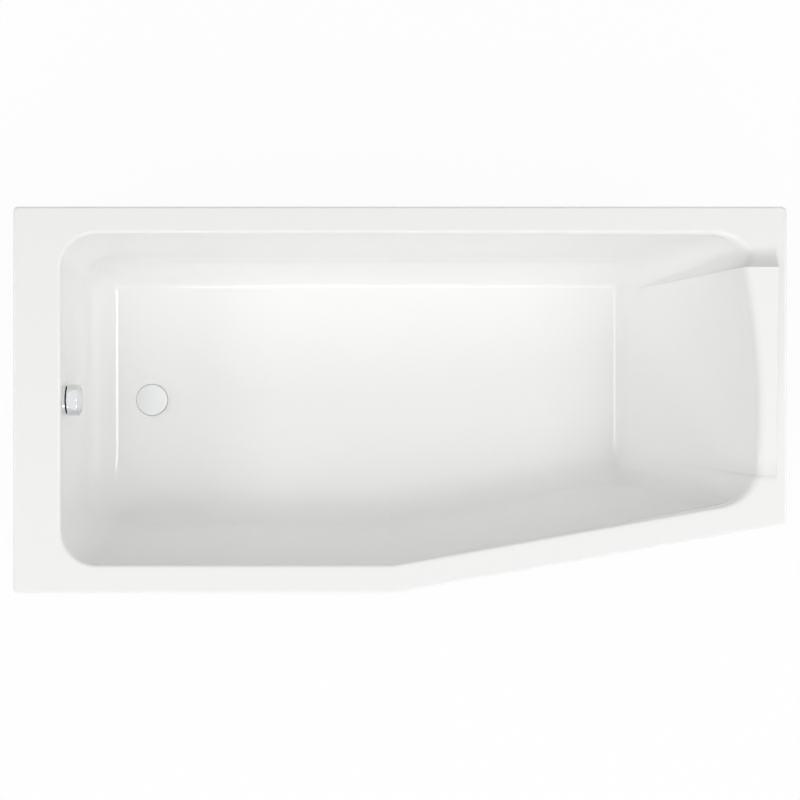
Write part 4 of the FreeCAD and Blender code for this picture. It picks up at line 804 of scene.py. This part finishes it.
# %% Sheet of the bath
OVERFLOW_HOLE_R = 27 * MM
sheet.append(flat_ring(RIM_HEIGHT - SHEET, lambda side, x: wall_inset(side, RIM_HEIGHT - SHEET, DEPTH, SHEET),
                       CORNER_HIGH + SHEET, bow=HEAD_BOW))
sheet += [basin_ring(height, SHEET) for height in reversed(HEIGHTS)]
under = basin_ring(0.0, SHEET, more=SUPPORT)
sheet += [under, drain_ring(DISH_R + SHEET, FLOOR_HEIGHT - SHEET, under, FLOOR_FALL),
          drain_ring(DISH_R + SHEET, DISH_Z - SHEET, under), drain_ring(HOLE_R, DISH_Z - SHEET, under)]
bath = close_rings("moulded_bath", sheet, acrylic)
drill_overflow(bath, OVERFLOW_HOLE_R)
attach(bath, "tub")
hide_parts("tub_shell")

# %% [markdown]
# The laminate follows the back of the sheet a bond line away, stops short of the rim, and leaves the dish and
# the overflow free. It needs the same loops, so it is drawn by the same functions.

# %% Laminate on the back
BOND = 0.3 * MM
LAMINATE = 3 * MM
LAMINATE_TOP = 588 * MM
DISH_FREE = 54 * MM
OVERFLOW_FREE = 40 * MM
coats = []
for grow in (SHEET + BOND, SHEET + BOND + LAMINATE):
    inner = basin_ring(0.0, grow, more=SUPPORT)
    hole = drain_ring(DISH_FREE, FLOOR_HEIGHT - grow, inner, FLOOR_FALL)
    walls = [basin_ring(height, grow) for height in HEIGHTS if height < LAMINATE_TOP - FLOOR_HEIGHT]
    edge = flat_ring(LAMINATE_TOP, lambda side, x: wall_inset(side, LAMINATE_TOP, DEPTH, grow),
                     CORNER_HIGH + grow, bow=HEAD_BOW)
    coats.append([hole, inner] + walls + [edge])
backing = close_rings("laminate_backing", coats[0] + coats[1][::-1], laminate)
drill_overflow(backing, OVERFLOW_FREE)
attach(backing, "tub")
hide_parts("fibreglass_backing")

# %% [markdown]
# ## Shapes made by nodes
# The hose, the cable and the threads all follow a line and repeat a profile along it, which is what geometry
# nodes do well. Each group has named inputs in real sizes. Its result is kept as a plain mesh, so nothing in
# the finished pieces still depends on the group.

# %% Making a piece from a node group
def start_group(name, inputs):
    """An empty group with named inputs of a kind, one geometry output, and its input node's outputs."""
    group = bpy.data.node_groups.new(name, "GeometryNodeTree")
    for label, kind in inputs.items():
        group.interface.new_socket(label, in_out="INPUT", socket_type="NodeSocket" + kind)
    group.interface.new_socket("Piece", in_out="OUTPUT", socket_type="NodeSocketGeometry")
    return group, add(group, "NodeGroupInput").outputs


def end_group(group, geometry, finish):
    """Smooth shading, a finish and the output, for any group."""
    smooth = add(group, "GeometryNodeSetShadeSmooth", {"Geometry": geometry})
    whole = add(group, "GeometryNodeRealizeInstances", {"Geometry": smooth.outputs[0]})
    painted = add(group, "GeometryNodeSetMaterial", {"Geometry": whole.outputs[0], "Material": finish})
    add(group, "NodeGroupOutput", {"Piece": painted.outputs[0]})


def make_piece(name, group, values):
    """A plain mesh object made by a group from values for its named inputs."""
    piece = bpy.data.objects.new(name, bpy.data.meshes.new(name))
    bpy.context.scene.collection.objects.link(piece)
    maker = piece.modifiers.new("maker", "NODES")
    maker.node_group = group
    for socket in group.interface.items_tree:
        if socket.in_out == "INPUT":
            maker[socket.identifier] = values[socket.name]
    made = piece.evaluated_get(bpy.context.evaluated_depsgraph_get())
    mesh = bpy.data.meshes.new_from_object(made)
    piece.modifiers.remove(maker)
    piece.data = mesh
    print(name, len(mesh.polygons), "faces")
    return piece

# %% [markdown]
# Hose and cable drop down and turn in with a wide bend. Arcs and straight lines could be joined end to end,
# but a curve with a few control points bends smoothly and starts and ends along its first and last legs.

# %% Line of a route
ROUTE_ORDER = 3
ROUTE_STEPS = 32


def route(name, points):
    """A smooth line with the route's points as control points."""
    curve = bpy.data.curves.new(name, "CURVE")
    curve.dimensions = "3D"
    spline = curve.splines.new("NURBS")
    spline.points.add(len(points) - 1)
    for point, (x, y, z) in zip(spline.points, points):
        point.co = (x, y, z, 1.0)
    spline.order_u = ROUTE_ORDER
    spline.use_endpoint_u = True
    spline.resolution_u = ROUTE_STEPS
    line = bpy.data.objects.new(name, curve)
    bpy.context.scene.collection.objects.link(line)
    return line

# %% [markdown]
# ## Overflow hose
# A corrugated polyethylene hose drops from the overflow behind the foot end and turns in to the waste. Such
# a hose is blown into a mould with rounded ribs, and has a plain cuff at each end that a clamp holds. The
# tube follows the route, its radius is a wave along the length between the cuffs, and the wall goes inwards.
# Separate rings would not run into each other as moulded ribs do. The wave goes up and down once for each
# rib, and the foot and crown of a rib are given as shares of its pitch.

# %% Node group of the hose
HOSE_FACETS = 40
RIB_FOOT, RIB_CROWN = 0.1, 0.35
hose_group, size = start_group("ribbed_hose", {
    "Route": "Object", "Cuff radius": "Float", "Cuff length": "Float", "Rib height": "Float",
    "Rib pitch": "Float", "Step": "Float", "Finish": "Material"})
line = add(hose_group, "GeometryNodeObjectInfo", {"Object": size["Route"]}).outputs["Geometry"]
line = add(hose_group, "GeometryNodeResampleCurve", {"Curve": line, "Length": size["Step"]},
           mode="LENGTH").outputs[0]
length = add(hose_group, "GeometryNodeCurveLength", {"Curve": line}).outputs[0]
along = add(hose_group, "GeometryNodeSplineParameter").outputs["Length"]
cuffs = add(hose_group, "ShaderNodeMath", {0: size["Cuff length"], 1: 2.0}, operation="MULTIPLY")
ribbed = add(hose_group, "ShaderNodeMath", {0: length, 1: cuffs.outputs[0]}, operation="SUBTRACT")
ribs = add(hose_group, "ShaderNodeMath", {0: ribbed.outputs[0], 1: size["Rib pitch"]}, operation="DIVIDE")
ribs = add(hose_group, "ShaderNodeMath", {0: ribs.outputs[0]}, operation="ROUND")
past = add(hose_group, "ShaderNodeMath", {0: along, 1: size["Cuff length"]}, operation="SUBTRACT")
turns = add(hose_group, "ShaderNodeMapRange", {
    "Value": past.outputs[0], "From Min": 0.0, "From Max": ribbed.outputs[0], "To Min": 0.0,
    "To Max": ribs.outputs[0]})
wave = add(hose_group, "ShaderNodeMath", {0: turns.outputs[0], 1: 0.5}, operation="PINGPONG")
rib = add(hose_group, "ShaderNodeMapRange", {
    "Value": wave.outputs[0], "From Min": RIB_FOOT, "From Max": RIB_CROWN}, interpolation_type="SMOOTHSTEP")
radius = add(hose_group, "ShaderNodeMath", {
    0: rib.outputs[0], 1: size["Rib height"], 2: size["Cuff radius"]}, operation="MULTIPLY_ADD")
circle = add(hose_group, "GeometryNodeCurvePrimitiveCircle", {"Resolution": HOSE_FACETS, "Radius": 1.0})
tube = add(hose_group, "GeometryNodeCurveToMesh", {
    "Curve": line, "Profile Curve": circle.outputs[0], "Scale": radius.outputs[0]})
end_group(hose_group, tube.outputs[0], size["Finish"])
print(hose_group.name, len(hose_group.nodes), "nodes")

# %% Hose
HOSE_ROUTE = [(-0.7473, 0.0, 0.502), (-0.7473, 0.0, 0.2613), (-0.7473, 0.0, 0.126), (-0.612, 0.0, 0.126)]
HOSE_WALL = 1.8 * MM
hose_line = route("hose_route", HOSE_ROUTE)
hose = make_piece("ribbed_overflow_hose", hose_group, {
    "Route": hose_line, "Cuff radius": 16.35 * MM, "Cuff length": 38 * MM, "Rib height": 2.2 * MM,
    "Rib pitch": 6 * MM, "Step": 0.75 * MM, "Finish": moulded["polyethylene"]})
wall = hose.modifiers.new("wall", "SOLIDIFY")
wall.thickness = HOSE_WALL
wall.offset = -1.0
bpy.data.objects.remove(hose_line)
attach(hose, "tub")
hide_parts("overflow_hose")

# %% [markdown]
# ## Control cable
# The knob pulls the plug's lever through a thin sheathed cable, as on a bicycle brake. It runs beside the
# hose. A plain curve with a bevel would do as well, but the helpers of the hose are already there.

# %% Cable
CABLE_ROUTE = [(-0.7213, 0.0, 0.502), (-0.7213, 0.0, 0.2558), (-0.7213, 0.0, 0.150), (-0.6155, 0.0, 0.150)]
CABLE_FACETS = 24
cable_group, size = start_group("sheathed_cable", {
    "Route": "Object", "Radius": "Float", "Step": "Float", "Finish": "Material"})
line = add(cable_group, "GeometryNodeObjectInfo", {"Object": size["Route"]}).outputs["Geometry"]
line = add(cable_group, "GeometryNodeResampleCurve", {"Curve": line, "Length": size["Step"]},
           mode="LENGTH").outputs[0]
circle = add(cable_group, "GeometryNodeCurvePrimitiveCircle", {
    "Resolution": CABLE_FACETS, "Radius": size["Radius"]})
tube = add(cable_group, "GeometryNodeCurveToMesh", {
    "Curve": line, "Profile Curve": circle.outputs[0], "Fill Caps": True})
end_group(cable_group, tube.outputs[0], size["Finish"])

cable_line = route("cable_route", CABLE_ROUTE)
cable = make_piece("sheathed_control_cable", cable_group, {
    "Route": cable_line, "Radius": 2.5 * MM, "Step": 3 * MM, "Finish": moulded["pvc_sheath"]})
bpy.data.objects.remove(cable_line)
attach(cable, "tub")
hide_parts("control_cable")

# %% [markdown]
# ## Threaded studs
# Each foot stands on a stud with a standard 12 mm thread, 1.75 mm from turn to turn, rolled into zinc-plated
# steel. A profile swept along a helix would leave open ends. A cylinder with enough rows takes the thread as
# well: its radius follows a saw wave of the height, turned once round for each pitch, and both ends are
# chamfered so that the nuts start easily. The flats at root and crest are shares of the pitch.

# %% Node group of the studs
STUD_FACETS = 36
ROWS_PER_PITCH = 6.0
ROOT_FLAT, CREST_FLAT = 0.06, 0.44
stud_group, size = start_group("threaded_stud", {
    "Place": "Vector", "Length": "Float", "Crest radius": "Float", "Root radius": "Float", "Pitch": "Float",
    "Chamfer": "Float", "Finish": "Material"})
rows = add(stud_group, "ShaderNodeMath", {0: size["Length"], 1: size["Pitch"]}, operation="DIVIDE")
rows = add(stud_group, "ShaderNodeMath", {0: rows.outputs[0], 1: ROWS_PER_PITCH}, operation="MULTIPLY")
bar = add(stud_group, "GeometryNodeMeshCylinder", {
    "Vertices": STUD_FACETS, "Side Segments": rows.outputs[0], "Radius": 1.0, "Depth": size["Length"]})
point = add(stud_group, "ShaderNodeSeparateXYZ", {0: add(stud_group, "GeometryNodeInputPosition").outputs[0]})
x, y, z = point.outputs
angle = add(stud_group, "ShaderNodeMath", {0: y, 1: x}, operation="ARCTAN2")
angle = add(stud_group, "ShaderNodeMath", {0: angle.outputs[0], 1: 2 * math.pi}, operation="DIVIDE")
climb = add(stud_group, "ShaderNodeMath", {0: z, 1: size["Pitch"]}, operation="DIVIDE")
climb = add(stud_group, "ShaderNodeMath", {0: climb.outputs[0], 1: angle.outputs[0]}, operation="SUBTRACT")
saw = add(stud_group, "ShaderNodeMath", {0: climb.outputs[0], 1: 0.5}, operation="PINGPONG")
thread = add(stud_group, "ShaderNodeMapRange", {
    "Value": saw.outputs[0], "From Min": ROOT_FLAT, "From Max": CREST_FLAT,
    "To Min": size["Root radius"], "To Max": size["Crest radius"]})
level = add(stud_group, "ShaderNodeMath", {0: z}, operation="ABSOLUTE")
end = add(stud_group, "ShaderNodeMath", {0: size["Length"], 1: 0.5}, operation="MULTIPLY")
left = add(stud_group, "ShaderNodeMath", {0: end.outputs[0], 1: level.outputs[0]}, operation="SUBTRACT")
most = add(stud_group, "ShaderNodeMath", {0: size["Crest radius"], 1: size["Chamfer"]}, operation="SUBTRACT")
most = add(stud_group, "ShaderNodeMath", {0: most.outputs[0], 1: left.outputs[0]}, operation="ADD")
radius = add(stud_group, "ShaderNodeMath", {0: thread.outputs[0], 1: most.outputs[0]}, operation="MINIMUM")
round_x = add(stud_group, "ShaderNodeMath", {0: x, 1: radius.outputs[0]}, operation="MULTIPLY")
round_y = add(stud_group, "ShaderNodeMath", {0: y, 1: radius.outputs[0]}, operation="MULTIPLY")
moved = add(stud_group, "ShaderNodeCombineXYZ", {0: round_x.outputs[0], 1: round_y.outputs[0], 2: z})
cut = add(stud_group, "GeometryNodeSetPosition", {
    "Geometry": bar.outputs["Mesh"], "Position": moved.outputs[0], "Offset": size["Place"]})
end_group(stud_group, cut.outputs[0], size["Finish"])
print(stud_group.name, len(stud_group.nodes), "nodes")

# %% Studs
THREAD_PITCH = 1.75 * MM
THREAD_ROOT = 5.1 * MM
STUD_CHAMFER = 1 * MM
for corner in ("foot_end_front", "foot_end_wall", "head_end_front", "head_end_wall"):
    low, high = (Vector(point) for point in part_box("foot_stud_" + corner))
    stud = make_piece("threaded_stud_" + corner, stud_group, {
        "Place": (low + high) / 2, "Length": high.z - low.z, "Crest radius": (high.x - low.x) / 2,
        "Root radius": THREAD_ROOT, "Pitch": THREAD_PITCH, "Chamfer": STUD_CHAMFER, "Finish": zinc})
    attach(stud, "foot_" + corner)
    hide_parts("foot_stud_" + corner)
